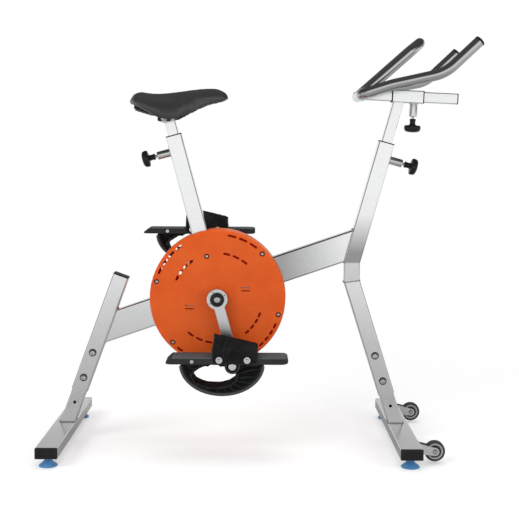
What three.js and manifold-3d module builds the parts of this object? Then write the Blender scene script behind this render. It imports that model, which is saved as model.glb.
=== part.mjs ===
// Aqua bike: a stainless underwater exercise bike with a dished housing round its crank,
// strap pedals, a height-set saddle and a bull-horn handlebar on a sliding carrier.
// Millimetres and degrees. X points to the front of the bike, Y to its left, Z up.
// The crank axle stands over X = 0 while the bike is built; the finished bike is centred
// over the floor at the end.

import * as THREE from 'three';
import { mergeVertices } from 'three/addons/utils/BufferGeometryUtils.js';
import Module from 'manifold-3d';

const wasm = await Module();
wasm.setup();

// Clearances that every piece shares
const fitGap = 0.3;
const cutOverrun = 2;
const weldDepth = 1;

// Base bars, their caps and their suction feet
const baseLength = 560;
const baseWide = 60;
const baseTall = 30;
const baseWall = 2.5;
const baseCorner = 3;
const baseUnderside = 26;
const rearBaseBack = 442;
const frontBaseAhead = 523;
const baseCapFlange = 3;
const baseCapPlug = 14;
const baseCapWall = 2.5;
const footInset = 28;
const footRadius = 25;
const footRimHeight = 5;
const footNeckRadius = 9;
const footNeckHeight = 6;
const footPadRadius = 15;
const footHollow = 3.5;
const footSkirtShares = [[0.86, 0], [0.42, 0.4], [0.12, 0.8]];

// Telescopic legs: stubs stand on the base bars and the leg sleeves slide over them
const stubTube = 40;
const stubWall = 2.5;
const stubCorner = 3;
const stubHidden = 150;
const rearStubAhead = 8;
const frontStubBack = 7;
const rearStubShown = 97;
const frontStubShown = 88;
const legTube = 45;
const legWall = 2;
const legCorner = 4;
const rearLegLean = 20;
const rearLegLength = 354;
const frontLegLean = 17.6;
const legHoleRadius = 4.5;
const legHolePitch = 77;
const legBoltRise = 42;
const legBoltRadius = 5;
const legBoltHeadRadius = 11;
const legBoltHeadHeight = 6;
const legBoltRim = 1.5;
const legBoltSocketRadius = 4.6;
const legBoltSocketDepth = 3;
const nutStripWide = 24;
const nutStripThick = 6;
const nutStripMargin = 14;
const legCapThick = 3;
const legCapPlug = 16;

// Front column and main beam
const columnFootHeight = 468;
const columnKneeHeight = 524;
const columnTopHeight = 865;
const columnLean = 15.7;
const beamTall = 80;
const beamWide = 40;
const beamWall = 2;
const beamCorner = 5;
const beamSlope = 19;
const beamOverAxle = 17;

// Seat tube, which stands on the beam behind the crank axle
const seatLean = 15.2;
const seatFootBack = 3.6;
const seatTopHeight = 883;

// Bushes that guide the posts
const bushFlange = 3;
const bushDepth = 60;
const postTube = 30;
const postWall = 2;
const postCorner = 3;

// Pull pins with mushroom knobs
const bossRadius = 11.5;
const bossLength = 38;
const bossBelowTop = 43;
const pinRadius = 4;
const pinShown = 6.5;
const pinTravel = 8;
const stemRadius = 9;
const stemLength = 18.5;
const knobRadius = 24;
const knobThick = 20;
const knobRounding = 7;
const indexPitch = 25;
const indexHoleRadius = 4.6;
const indexHoles = 6;

// Crank axle, bearings and cranks
const axleHeight = 423;
const shellRadius = 20;
const shellHalf = 34;
const bearingRadius = 17;
const bearingWide = 10;
const axleRadius = 8.5;
const axleSquare = 12;
const crankLength = 172.5;
const crankForward = 15.4;
const crankHeadRadius = 29.5;
const crankArmWidth = 30;
const crankEyeRadius = 17;
const crankThick = 12;
const crankMid = 80;
const crankBossRadius = 19;
const crankBossDepth = 8;
const crankBevel = 1;
const crankBoltRadius = 5;
const crankBoltDepth = 22;
const crankCapRadius = 19.8;
const crankCapBore = 11.8;
const crankCapHeight = 8.6;
const crankCapFloor = 2.4;
const crankBoltHeadRadius = 11.2;
const crankBoltHeadHeight = 4.4;
const crankSocketRadius = 5;
const crankSocketDepth = 3;

// Housing: two dished covers bolted to each other round the beam
const coverFaceRadius = 193;
const coverRimRadius = 195;
const coverHalf = 58;
const coverSkin = 3;
const coverEdgeRadius = 7;
const coverHoleRadius = 24;
const coverSeam = 0.5;
const coverNotchGap = 3;
const slotWidth = 5;
const outerSlotRadius = 181;
const innerSlotRadius = 128;
const drainSlotLength = 26;
const drainSlotWidth = 3;
const drainSlotPitch = 9;
const drainSlotRadius = 84;
const coverBoltCircle = 179;
const coverBoltInner = 123;
const coverBoltAngles = [45, 165, 225, 285, 345];
const seatBoltAngle = 104.5;
const coverBoltRadius = 3;
const coverBoltHeadRadius = 4.8;
const coverBoltHeadHeight = 3;
const coverBossRadius = 9.5;
const coverBoreRadius = 7.4;
const coverBoreDepth = 4.5;

// Pedals: a long foot plate on a sleeve, an upper hood and a lower loop
const pedalMid = 150;
const pedalHeel = 182;
const pedalToe = 152;
const pedalWidth = 96;
const pedalThick = 15;
const pedalCorner = 16;
const pedalEdge = 3;
const heelSlope = 14;
const heelLip = 4;
const pedalOverAxle = 5;
const pedalAxleRadius = 7.5;
const pedalAxleCollarRadius = 11;
const pedalSleeveRadius = 16;
const pedalFlangeRadius = 21;
const pedalFlangeThick = 6;
const gripRibPitch = 24;
const gripRibWide = 6;
const gripRibTall = 1.6;
const gripRibInset = 14;
const hoodBack = 55;
const hoodFront = 67;
const hoodSkin = 3.2;
const hoodTabRise = 9;
const hoodRearRise = 62;
const hoodFrontRise = 32;
const loopWidth = 86;
const loopBack = 145;
const loopFront = 88;
const loopDrop = 83;
const loopEdge = 7;
const loopHoleBack = 108;
const loopHoleFront = 9;
const loopHoleTop = 1;
const loopHoleBottom = 61;

// Seat post, saddle clamp, rails and saddle
const seatPostShown = 45;
const seatPostAboveBolt = 103.3;
const clampBack = 12;
const clampRise = 8;
const barrelRadius = 14;
const barrelHalf = 16;
const clampBoltRadius = 5;
const clampBoltHeadRadius = 9;
const clampBoltHeadHeight = 5;
const cheekThick = 10;
const cheekLength = 38;
const cheekTall = 26;
const cheekRise = 4;
const railRadius = 3.5;
const railSpacing = 44;
const railRise = 11;
const railStraight = 76;
const railTail = 82;
const railTailShare = 1.25;
const railNoseShare = 0.55;
const railTailRise = 24;
const railNose = 124;
const railNoseRise = 42;
const railBend = 9;
const socketLong = 20;
const socketTall = 20;
const socketWall = 7;
const saddleLength = 287;
const saddleWidth = 190;
const saddleHeight = 92;
const saddleTailBack = 103;
const saddleBaseDrop = 7;

// Handlebar post with its slider sleeve
const barPostHidden = 250;
const sleeveLength = 86;
const sleeveTube = 36;
const sleeveWall = 1.5;
const sleeveBushDepth = 20;
const sleeveAboveColumn = 134;
const sleeveOverlap = 22;
const postHeadShare = 0.4;
const sliderTilt = 2.4;
const reachBossAhead = 19;
const sliderBack = 138;
const sliderFront = 141;
const sliderCapThick = 3;
const sliderCapPlug = 12;

// Handlebar: a U tube with bull horns and a raised loop
const barRadius = 15;
const barWall = 2;
const barDrop = 4;
const barRearHalf = 75;
const barRearBend = 34;
const barElbowAhead = 82;
const barElbowRise = 25.5;
const barElbowHalf = 106;
const barElbowBend = 160;
const hornBendAhead = 216.6;
const hornBendRise = 53;
const hornHalf = 158;
const hornBend = 90;
const hornTipAhead = 307;
const hornTipRise = 138.3;
const hornCapLength = 5;
const hornCapPlug = 14;
const hornCapShares = [[1, 0], [1, 0.4], [0.88, 0.8], [0.6, 1], [0, 1]];
const loopHalf = 62;
const loopTopAhead = 167.5;
const loopTopRise = 148.6;
const loopBend = 44;

// Transport wheels in forks on the front base bar
const wheelInset = 67;
const wheelAhead = 71;
const wheelHeight = 33;
const wheelRadius = 28;
const wheelWide = 20;
const wheelTreadDepth = 7;
const wheelTreadInset = 1;
const wheelHubRadius = 10;
const wheelBore = 4.4;
const wheelRounding = 3;
const wheelWebThick = 8;
const wheelBoltRadius = 4;
const wheelBoltHeadRadius = 7;
const forkGap = 1.2;
const forkPlate = 3;
const forkRootTall = 27;
const forkTipRadius = 11;

// Finishes
const steel = { color: 0xc9ccd0, metalness: 0.9, roughness: 0.32 };
const polishedSteel = { color: 0xb9bcc2, metalness: 1, roughness: 0.15 };
const orangePlastic = { color: 0xe2602a, metalness: 0, roughness: 0.45 };
const blackPlastic = { color: 0x232325, metalness: 0, roughness: 0.5 };
const blackFabric = { color: 0x2b2b2e, metalness: 0, roughness: 0.85 };
const blueRubber = { color: 0x4682be, metalness: 0, roughness: 0.5 };
const greyRubber = { color: 0x4a4a4c, metalness: 0, roughness: 0.7 };

const fineSides = 12;
const roundSides = 10;
const smallSides = 8;
const boreSides = 6;
const indexSides = 4;
const coverSides = 32;
const pathSteps = 3;

const degree = Math.PI / 180;
const sin = (angle) => Math.sin(angle * degree);
const cos = (angle) => Math.cos(angle * degree);
const tan = (angle) => Math.tan(angle * degree);

// Places that follow from the sizes above
const baseTop = baseUnderside + baseTall;
const rearStubX = -rearBaseBack + rearStubAhead;
const frontStubX = frontBaseAhead - frontStubBack;
const wheelSide = baseLength / 2 - wheelInset;
const seatTopBack = seatFootBack + (seatTopHeight - axleHeight) * tan(seatLean);
const seatBoltHeight = axleHeight + coverBoltInner * sin(seatBoltAngle);
const seatPostHidden = (seatTopHeight - seatBoltHeight) / cos(seatLean) - seatPostAboveBolt;
const columnX = frontStubX - (columnFootHeight - baseTop) * tan(frontLegLean);
const columnTopX = columnX + (columnTopHeight - columnKneeHeight) * tan(columnLean);
const beamCentreRise = beamOverAxle / cos(beamSlope);
const pedalTop = pedalOverAxle + pedalThick;

// Closed bodies, cuts and joins

/** Leaves only positions, merged into one closed body whose faces point out. */
function closed(geometry) {
  const bare = new THREE.BufferGeometry();
  bare.setAttribute('position', geometry.getAttribute('position').clone());
  if (geometry.index) {
    bare.setIndex(geometry.index.clone());
  }
  const merged = mergeVertices(bare);
  const place = merged.getAttribute('position');
  const corners = [new THREE.Vector3(), new THREE.Vector3(), new THREE.Vector3()];
  const faces = [];
  let volume = 0;
  for (let start = 0; start < merged.index.count; start += 3) {
    const face = [0, 1, 2].map((corner) => merged.index.getX(start + corner));
    if (new Set(face).size === 3) {
      face.forEach((vertex, corner) => corners[corner].fromBufferAttribute(place, vertex));
      volume += corners[0].dot(corners[1].clone().cross(corners[2]));
      faces.push(face);
    }
  }
  const outward = volume < 0 ? faces.map(([a, b, c]) => [a, c, b]) : faces;
  merged.setIndex(outward.flat());
  return merged;
}

function toSolid(geometry) {
  const body = closed(geometry);
  return new wasm.Manifold(new wasm.Mesh({
    numProp: 3,
    vertProperties: new Float32Array(body.getAttribute('position').array),
    triVerts: new Uint32Array(body.index.array),
  }));
}

function toGeometry(solid) {
  const mesh = solid.getMesh();
  const geometry = new THREE.BufferGeometry();
  const places = [];
  for (let start = 0; start < mesh.vertProperties.length; start += mesh.numProp) {
    places.push(...mesh.vertProperties.slice(start, start + 3));
  }
  geometry.setAttribute('position', new THREE.Float32BufferAttribute(places, 3));
  geometry.setIndex([...mesh.triVerts]);
  return geometry;
}

function cut(body, tools) {
  return toGeometry(tools.reduce((rest, tool) => rest.subtract(toSolid(tool)), toSolid(body)));
}

function join(bodies) {
  return toGeometry(bodies.slice(1).reduce((sum, body) => sum.add(toSolid(body)), toSolid(bodies[0])));
}

// Plain shapes

function moved(geometry, x, y, z) {
  return geometry.clone().translate(x, y, z);
}

function turned(geometry, axis, angle) {
  const turn = new THREE.Matrix4().makeRotationAxis(axis, angle * degree);
  return geometry.clone().applyMatrix4(turn);
}

const axisX = new THREE.Vector3(1, 0, 0);
const axisY = new THREE.Vector3(0, 1, 0);
const axisZ = new THREE.Vector3(0, 0, 1);

function block(x, y, z) {
  return new THREE.BoxGeometry(x, y, z);
}

/** A round bar centred on the origin, along Y unless another axis is named. */
function rod(radius, length, sides = roundSides, axis = axisY) {
  const bar = new THREE.CylinderGeometry(radius, radius, length, sides);
  if (axis === axisX) {
    return turned(bar, axisZ, 90);
  }
  return axis === axisZ ? turned(bar, axisX, 90) : bar;
}

/** The corner radius of a faceted hole whose flats clear a round of this radius. */
function clearRadius(radius, sides) {
  return (radius + fitGap) / cos(180 / sides);
}

/** A cutting rod that leaves the fit clearance round a pin of this radius. */
function way(radius, length, sides = roundSides, axis = axisY) {
  return rod(clearRadius(radius, sides), length, sides, axis);
}

/** A body of revolution round Z from [radius, height] points. */
function revolved(profile, sides = roundSides) {
  const outline = profile.map(([radius, height]) => new THREE.Vector2(radius, height));
  return turned(new THREE.LatheGeometry(outline, sides), axisX, 90);
}

/** A closed ring profile revolved round Z. */
function revolvedRing(profile, sides = roundSides) {
  return revolved([...profile, profile[0]], sides);
}

/** An outline in the XZ plane, extruded evenly to both sides of Y = 0. */
function sidePlate(shape, thick, bevel = 0, curves = roundSides) {
  const options = {
    depth: thick - 2 * bevel,
    bevelEnabled: bevel > 0,
    bevelThickness: bevel,
    bevelSize: bevel,
    bevelOffset: -bevel,
    bevelSegments: 1,
    curveSegments: curves,
  };
  const plate = new THREE.ExtrudeGeometry(shape, options);
  plate.translate(0, 0, bevel - thick / 2);
  return turned(plate, axisX, 90);
}

/** Arc points round a corner of a rounded rectangle, for all four corners. */
function rectangleRing(tall, wide, radius, steps = 2) {
  const ring = [];
  const signs = [[1, 1], [-1, 1], [-1, -1], [1, -1]];
  signs.forEach(([up, side], corner) => {
    for (let step = 0; step <= steps; step += 1) {
      const angle = 90 * (corner + step / steps);
      ring.push([
        up * (tall / 2 - radius) + radius * cos(angle),
        side * (wide / 2 - radius) + radius * sin(angle),
      ]);
    }
  });
  return ring;
}

function circleRing(radius, sides) {
  return Array.from({ length: sides }, (_, side) => [
    radius * cos((360 * side) / sides),
    radius * sin((360 * side) / sides),
  ]);
}

/**
 * Skins a row of rings that hold equally many points. A looped row closes on itself, as the
 * walls of an open tube do; any other row gets a flat cap at both ends.
 */
function skinned(rings, looped) {
  const size = rings[0].length;
  const places = rings.flat();
  const faces = [];
  const spans = looped ? rings.length : rings.length - 1;
  for (let span = 0; span < spans; span += 1) {
    const here = span * size;
    const next = ((span + 1) % rings.length) * size;
    for (let side = 0; side < size; side += 1) {
      const beside = (side + 1) % size;
      faces.push(here + side, next + side, next + beside);
      faces.push(here + side, next + beside, here + beside);
    }
  }
  if (!looped) {
    const last = (rings.length - 1) * size;
    for (let side = 1; side < size - 1; side += 1) {
      faces.push(0, side, side + 1);
      faces.push(last, last + side + 1, last + side);
    }
  }
  const geometry = new THREE.BufferGeometry().setFromPoints(places);
  geometry.setIndex(faces);
  return geometry;
}

/**
 * Sweeps a flat ring along points, mitring it at each bend. With an inner ring the sweep is
 * an open tube. Cut directions, where given, slant the first and the last end face.
 */
function swept({ points, up, outer, inner, startCut, endCut }) {
  const headings = points.slice(1).map((point, index) => point.clone().sub(points[index]).normalize());
  const frames = points.map((point, index) => {
    const before = headings[Math.max(index - 1, 0)];
    const after = headings[Math.min(index, headings.length - 1)];
    return { point, before, face: before.clone().add(after).normalize() };
  });
  if (startCut) {
    frames[0].face = startCut;
  }
  if (endCut) {
    frames[frames.length - 1].face = endCut;
  }
  let lift = up.clone();
  const axes = frames.map(({ before }) => {
    lift = lift.clone().addScaledVector(before, -lift.dot(before)).normalize();
    return { lift, across: before.clone().cross(lift) };
  });
  const ringsOf = (ring) => frames.map(({ point, before, face }, index) => ring.map(([high, wide]) => {
    const place = point.clone()
      .addScaledVector(axes[index].lift, high)
      .addScaledVector(axes[index].across, wide);
    const slip = place.clone().sub(point).dot(face) / before.dot(face);
    return place.addScaledVector(before, -slip);
  }));
  const skin = ringsOf(outer);
  return inner ? skinned([...skin, ...ringsOf(inner).reverse()], true) : skinned(skin, false);
}

/** A rectangular tube in the XZ plane; tall lies in that plane and wide lies along Y. */
function boxTube({ path, tall, wide, wall, corner, startCut, endCut }) {
  return swept({
    points: path.map(([x, z]) => new THREE.Vector3(x, 0, z)),
    up: new THREE.Vector3(-(path[1][1] - path[0][1]), 0, path[1][0] - path[0][0]).normalize(),
    outer: rectangleRing(tall, wide, corner),
    inner: rectangleRing(tall - 2 * wall, wide - 2 * wall, Math.max(corner - wall, wall / 4)),
    startCut,
    endCut,
  });
}

/** An upright square bar with rounded corners, from z = bottom to z = top. */
function squareBar(size, corner, bottom, top) {
  return swept({
    points: [new THREE.Vector3(0, 0, bottom), new THREE.Vector3(0, 0, top)],
    up: axisX,
    outer: rectangleRing(size, size, corner),
  });
}

/** An upright square tube that stands on z = bottom in its own frame. */
function squareTube(size, wall, corner, bottom, top, cuts = {}) {
  return boxTube({ path: [[0, bottom], [0, top]], tall: size, wide: size, wall, corner, ...cuts });
}

/** Points along straight stretches whose corners are rounded with arcs. */
function roundedPath(corners, bends, steps = 6) {
  const points = [corners[0].clone()];
  for (let index = 1; index < corners.length - 1; index += 1) {
    const corner = corners[index];
    const back = corners[index - 1].clone().sub(corner).normalize();
    const ahead = corners[index + 1].clone().sub(corner).normalize();
    const half = back.angleTo(ahead) / 2;
    const radius = bends[index - 1];
    const inward = back.clone().add(ahead).normalize();
    const centre = corner.clone().addScaledVector(inward, radius / Math.sin(half));
    const start = corner.clone().addScaledVector(back, radius / Math.tan(half)).sub(centre);
    const end = corner.clone().addScaledVector(ahead, radius / Math.tan(half)).sub(centre);
    const sweep = start.angleTo(end);
    for (let step = 0; step <= steps; step += 1) {
      const share = step / steps;
      const place = start.clone().multiplyScalar(Math.sin(sweep * (1 - share)))
        .addScaledVector(end, Math.sin(sweep * share))
        .divideScalar(Math.sin(sweep));
      points.push(centre.clone().add(place));
    }
  }
  points.push(corners[corners.length - 1].clone());
  return points;
}

function roundBar(points, radius, sides, up = axisZ) {
  return swept({ points, up, outer: circleRing(radius, sides) });
}

/** A direction in the XZ plane, as an angle above the X axis. */
function heading(angle) {
  return new THREE.Vector3(cos(angle), 0, sin(angle));
}

// Scene graph

function group(parent, x = 0, y = 0, z = 0, leanForward = 0) {
  const holder = new THREE.Group();
  holder.position.set(x, y, z);
  holder.rotation.y = leanForward * degree;
  parent.add(holder);
  return holder;
}

function piece(parent, name, geometry, finish) {
  const body = closed(geometry);
  const mesh = new THREE.Mesh(body, new THREE.MeshStandardMaterial(finish));
  body.computeVertexNormals();
  mesh.name = name;
  parent.add(mesh);
  return mesh;
}

// Base bars

function forkPlates() {
  const reach = wheelAhead - baseWide / 2;
  const axleDrop = wheelHeight - (baseUnderside + baseTall / 2);
  const root = new THREE.Vector2(-weldDepth, forkRootTall / 2);
  const span = Math.hypot(reach, axleDrop);
  const tilt = Math.atan2(axleDrop, reach);
  const hug = Math.acos((forkTipRadius - forkRootTall / 2) / span);
  const outline = new THREE.Shape();
  outline.moveTo(root.x, root.y);
  outline.lineTo(
    reach + forkTipRadius * Math.cos(tilt + hug),
    axleDrop + forkTipRadius * Math.sin(tilt + hug),
  );
  outline.absarc(reach, axleDrop, forkTipRadius, tilt + hug, tilt - hug, true);
  outline.lineTo(root.x, -root.y);
  outline.closePath();
  const side = wheelWide / 2 + forkGap + forkPlate / 2;
  const plate = sidePlate(outline, forkPlate, 0, smallSides);
  const bolt = rod(wheelBoltRadius, 2 * side, smallSides);
  const heads = [-1, 1].map((hand) => moved(
    rod(wheelBoltHeadRadius, forkPlate, smallSides), reach, hand * (side + forkPlate / 2), axleDrop,
  ));
  return [
    moved(plate, 0, side, 0),
    moved(plate, 0, -side, 0),
    moved(bolt, reach, 0, axleDrop),
    ...heads,
  ];
}

/** One base bar with its leaning stub welded on top, and wheel forks on the front one. */
function baseBar({ stubOffset, stubLean, stubShown, forks }) {
  const tube = turned(boxTube({
    path: [[-baseLength / 2, 0], [baseLength / 2, 0]],
    tall: baseTall,
    wide: baseWide,
    wall: baseWall,
    corner: baseCorner,
  }), axisZ, 90);
  const bar = moved(tube, 0, 0, baseUnderside + baseTall / 2);
  const top = stubShown + stubHidden;
  const stub = moved(
    turned(squareTube(stubTube, stubWall, stubCorner, -weldDepth, top, {
      startCut: turnedDirection(axisZ, -stubLean),
    }), axisY, stubLean),
    stubOffset, 0, baseTop,
  );
  const holes = [-1, 0, 1].map((row) => {
    const rise = stubShown + legBoltRise + row * legHolePitch;
    const radius = row < 0 ? legHoleRadius : legBoltRadius;
    const hole = moved(way(radius, stubTube + cutOverrun, smallSides), 0, 0, rise);
    return moved(turned(hole, axisY, stubLean), stubOffset, 0, baseTop);
  });
  const plates = forks ? [-1, 1].flatMap((hand) => forkPlates().map((plate) => moved(
    plate, baseWide / 2, hand * wheelSide, baseUnderside + baseTall / 2,
  ))) : [];
  return cut(join([bar, stub, ...plates]), holes);
}

function turnedDirection(direction, angle) {
  return direction.clone().applyAxisAngle(axisY, angle * degree);
}

function baseCap() {
  const flange = block(baseWide, baseCapFlange, baseTall);
  const plugWide = baseWide - 2 * (baseWall + fitGap);
  const plugTall = baseTall - 2 * (baseWall + fitGap);
  const plugMiddle = (baseCapFlange + baseCapPlug) / 2 - weldDepth;
  const plug = moved(block(plugWide, baseCapPlug, plugTall), 0, plugMiddle, 0);
  const hollow = moved(
    block(plugWide - 2 * baseCapWall, baseCapPlug, plugTall - 2 * baseCapWall),
    0, plugMiddle + weldDepth + fitGap, 0,
  );
  return cut(join([flange, plug]), [hollow]);
}

/** A suction foot: a flared skirt under a neck, with a shallow hollow inside a flat rim. */
function suctionFoot() {
  const top = baseUnderside - fitGap;
  const neckStart = top - footNeckHeight;
  const skirt = footSkirtShares.map(([across, up]) => [
    footNeckRadius + across * (footRadius - footNeckRadius),
    footRimHeight + up * (neckStart - footRimHeight),
  ]);
  return revolved([
    [0, footHollow],
    [footPadRadius, 0],
    [footRadius, 0],
    [footRadius, footRimHeight / 2],
    ...skirt,
    [footNeckRadius, neckStart],
    [footNeckRadius, top],
    [0, top],
  ], fineSides);
}

// Legs, column and beam

function legHoles(lowerEnd) {
  return [0, 1].map((row) => moved(
    way(legBoltRadius, legTube, smallSides),
    0, -legTube / 2, lowerEnd + legBoltRise + row * legHolePitch,
  ));
}

function rearLeg() {
  const tube = squareTube(legTube, legWall, legCorner, rearStubShown, rearStubShown + rearLegLength);
  return cut(tube, legHoles(rearStubShown));
}

function frontLeg() {
  const top = (columnFootHeight - baseTop) / cos(frontLegLean) - fitGap;
  const tube = squareTube(legTube, legWall, legCorner, frontStubShown, top, {
    endCut: turnedDirection(axisZ, frontLegLean / 2),
  });
  return cut(tube, legHoles(frontStubShown));
}

/** Two socket bolts that screw into a nut strip inside the stub. */
function legBolts() {
  const face = legTube / 2 + fitGap;
  const stripFace = stubTube / 2 - stubWall - fitGap;
  const bolts = [0, 1].map((row) => {
    const rise = row * legHolePitch;
    const head = revolved([
      [0, -(face - stripFace) - weldDepth],
      [legBoltRadius, -(face - stripFace) - weldDepth],
      [legBoltRadius, 0],
      [legBoltHeadRadius, 0],
      [legBoltHeadRadius, legBoltHeadHeight - legBoltRim],
      [legBoltHeadRadius - legBoltRim, legBoltHeadHeight],
      [legBoltSocketRadius, legBoltHeadHeight],
      [legBoltSocketRadius, legBoltHeadHeight - legBoltSocketDepth],
      [0, legBoltHeadHeight - legBoltSocketDepth],
    ]);
    return moved(turned(head, axisX, 90), 0, -face, rise);
  });
  const strip = moved(
    block(nutStripWide, nutStripThick, legHolePitch + 2 * nutStripMargin),
    0, -stripFace + nutStripThick / 2, legHolePitch / 2,
  );
  return join([...bolts, strip]);
}

/** A square end cap with a hollow plug, its flange on z = 0. */
function squareCap(size, wall, corner, thick, plugDepth) {
  const plugSize = size - 2 * (wall + fitGap);
  const flange = squareBar(size, corner, 0, thick);
  const plug = squareBar(plugSize, corner, -plugDepth, weldDepth);
  const hollow = squareBar(plugSize - 2 * thick, corner, -plugDepth - cutOverrun, -fitGap);
  return cut(join([flange, plug]), [hollow]);
}

/** The bored boss that carries a pull pin, its axis along +X from a tube's face. */
function pinBoss(face) {
  const boss = rod(bossRadius, bossLength + weldDepth, roundSides, axisX);
  return moved(boss, face + (bossLength - weldDepth) / 2, 0, 0);
}

function pinBore(depth, length) {
  return moved(way(pinRadius, length, smallSides, axisX), depth + length / 2, 0, 0);
}

/** Upright knee and leaning column in one tube, with the handlebar's pin boss in front. */
function frontColumn() {
  const tube = boxTube({
    path: [
      [columnX, columnFootHeight],
      [columnX, columnKneeHeight],
      [columnTopX, columnTopHeight],
    ],
    tall: legTube,
    wide: legTube,
    wall: legWall,
    corner: legCorner,
    startCut: turnedDirection(axisZ, -frontLegLean / 2),
  });
  const place = (shape) => moved(
    turned(moved(shape, 0, 0, -bossBelowTop), axisY, columnLean), columnTopX, 0, columnTopHeight,
  );
  const inside = legTube / 2 - legWall - cutOverrun;
  const bore = pinBore(inside, bossLength + legWall + 2 * cutOverrun);
  return cut(join([tube, place(pinBoss(legTube / 2))]), [place(bore)]);
}

/** The main beam lies in its own frame: X along the beam, origin beside the crank axle. */
function mainBeam() {
  const toBeam = (x, z) => [
    x * cos(beamSlope) + (z - axleHeight) * sin(beamSlope),
    (z - axleHeight) * cos(beamSlope) - x * sin(beamSlope),
  ];
  const centre = beamOverAxle;
  const rearAxis = toBeam(rearStubX, baseTop);
  const rearTilt = 90 - rearLegLean - beamSlope;
  const rearOffset = (legTube / 2 + fitGap) / sin(rearTilt);
  const rearX = rearAxis[0] + (centre - rearAxis[1]) / tan(rearTilt) + rearOffset;
  const frontAxis = toBeam(columnX, columnKneeHeight);
  const frontTilt = 90 - columnLean - beamSlope;
  const frontOffset = (legTube / 2 + fitGap) / sin(frontTilt);
  const frontX = frontAxis[0] + (centre - frontAxis[1]) / tan(frontTilt) - frontOffset;
  const tube = boxTube({
    path: [[rearX, centre], [frontX, centre]],
    tall: beamTall,
    wide: beamWide,
    wall: beamWall,
    corner: beamCorner,
    startCut: heading(rearTilt - 90),
    endCut: heading(frontTilt - 90),
  });
  return cut(tube, [way(shellRadius, beamWide + cutOverrun, fineSides)]);
}

function bracketShell() {
  const shell = rod(shellRadius, 2 * shellHalf, fineSides);
  return cut(shell, [way(bearingRadius, 2 * shellHalf + cutOverrun, fineSides)]);
}

function bearing() {
  const bore = clearRadius(axleRadius, fineSides);
  return turned(revolvedRing([
    [bore, -bearingWide / 2],
    [bearingRadius, -bearingWide / 2],
    [bearingRadius, bearingWide / 2],
    [bore, bearingWide / 2],
  ], fineSides), axisX, 90);
}

// Seat tube and bushes, in a frame whose origin is the tube's top centre

function seatTubeFoot() {
  const beamTopAtAxle = axleHeight + (beamOverAxle + beamTall / 2 + fitGap) / cos(beamSlope);
  const slope = tan(beamSlope);
  const drop = (seatTopHeight - beamTopAtAxle + seatTopBack * slope)
    / (cos(seatLean) + sin(seatLean) * slope);
  return drop;
}

function seatTube() {
  const tube = squareTube(legTube, legWall, legCorner, -seatTubeFoot(), 0, {
    startCut: heading(90 + beamSlope - seatLean),
  });
  const boss = turned(moved(pinBoss(legTube / 2), 0, 0, -bossBelowTop), axisZ, 180);
  const inside = legTube / 2 - legWall - cutOverrun;
  const bore = turned(
    moved(pinBore(inside, bossLength + legWall + 2 * cutOverrun), 0, 0, -bossBelowTop), axisZ, 180,
  );
  const boltPlace = coverBoltPlaces().find(({ circle }) => circle === coverBoltInner);
  const bolt = way(coverBoltRadius, legTube + cutOverrun, boreSides);
  const away = turnedDirection(
    new THREE.Vector3(boltPlace.x + seatTopBack, 0, axleHeight + boltPlace.z - seatTopHeight),
    seatLean,
  );
  return cut(join([tube, boss]), [bore, moved(bolt, away.x, 0, away.z)]);
}

/** A flanged square bush with a pin hole on one side: +X for side 1, -X for side -1. */
function postBush(side) {
  const outer = legTube - 2 * (legWall + fitGap);
  const body = squareBar(outer, legCorner, -bushDepth, bushFlange);
  const flange = squareBar(legTube, legCorner, fitGap, fitGap + bushFlange);
  const inner = postTube + 2 * fitGap;
  const hole = squareBar(inner, postCorner, -bushDepth - cutOverrun, bushFlange + cutOverrun);
  const bore = moved(pinBore(0, legTube), 0, 0, -bossBelowTop);
  return cut(join([body, flange]), [hole, side > 0 ? bore : turned(bore, axisZ, 180)]);
}

/** Pull pin, stem and mushroom head in one piece along +X, from a post face at x = face. */
function pullPin(face, bossEnd) {
  const stemStart = bossEnd + pinShown;
  const headStart = stemStart + stemLength;
  const headEnd = headStart + knobThick;
  return turned(revolved([
    [0, face + fitGap],
    [pinRadius, face + fitGap],
    [pinRadius, stemStart],
    [stemRadius - fitGap, stemStart],
    [stemRadius, stemStart + stemLength / 4],
    [stemRadius, headStart],
    [knobRadius - knobRounding / 2, headStart],
    [knobRadius, headStart + knobRounding / 2],
    [knobRadius, headEnd - knobRounding],
    [knobRadius - knobRounding / 3, headEnd - knobRounding / 3],
    [knobRadius - knobRounding, headEnd],
    [0, headEnd],
  ], fineSides), axisY, 90);
}

// Housing

/** Angles seen from the right-hand side, counted from the front over the top. */
function coverBoltPlaces() {
  return [...coverBoltAngles, seatBoltAngle].map((angle) => {
    const circle = angle === seatBoltAngle ? coverBoltInner : coverBoltCircle;
    return { circle, x: circle * cos(angle), z: circle * sin(angle) };
  });
}

const slotArcs = [
  { from: 52, to: 81, dashes: 3, radius: outerSlotRadius },
  { from: 49, to: 83, dashes: 3, radius: innerSlotRadius },
  { from: 124, to: 158, dashes: 4, radius: outerSlotRadius },
  { from: 123, to: 157, dashes: 4, radius: innerSlotRadius },
  { from: 231, to: 262, dashes: 4, radius: outerSlotRadius },
  { from: 229, to: 264, dashes: 3, radius: innerSlotRadius },
  { from: 311, to: 337, dashes: 4, radius: outerSlotRadius },
  { from: 308, to: 342, dashes: 4, radius: innerSlotRadius },
];
const slotBridgeShare = 0.24;
const drainAngles = [18, 198];

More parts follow.
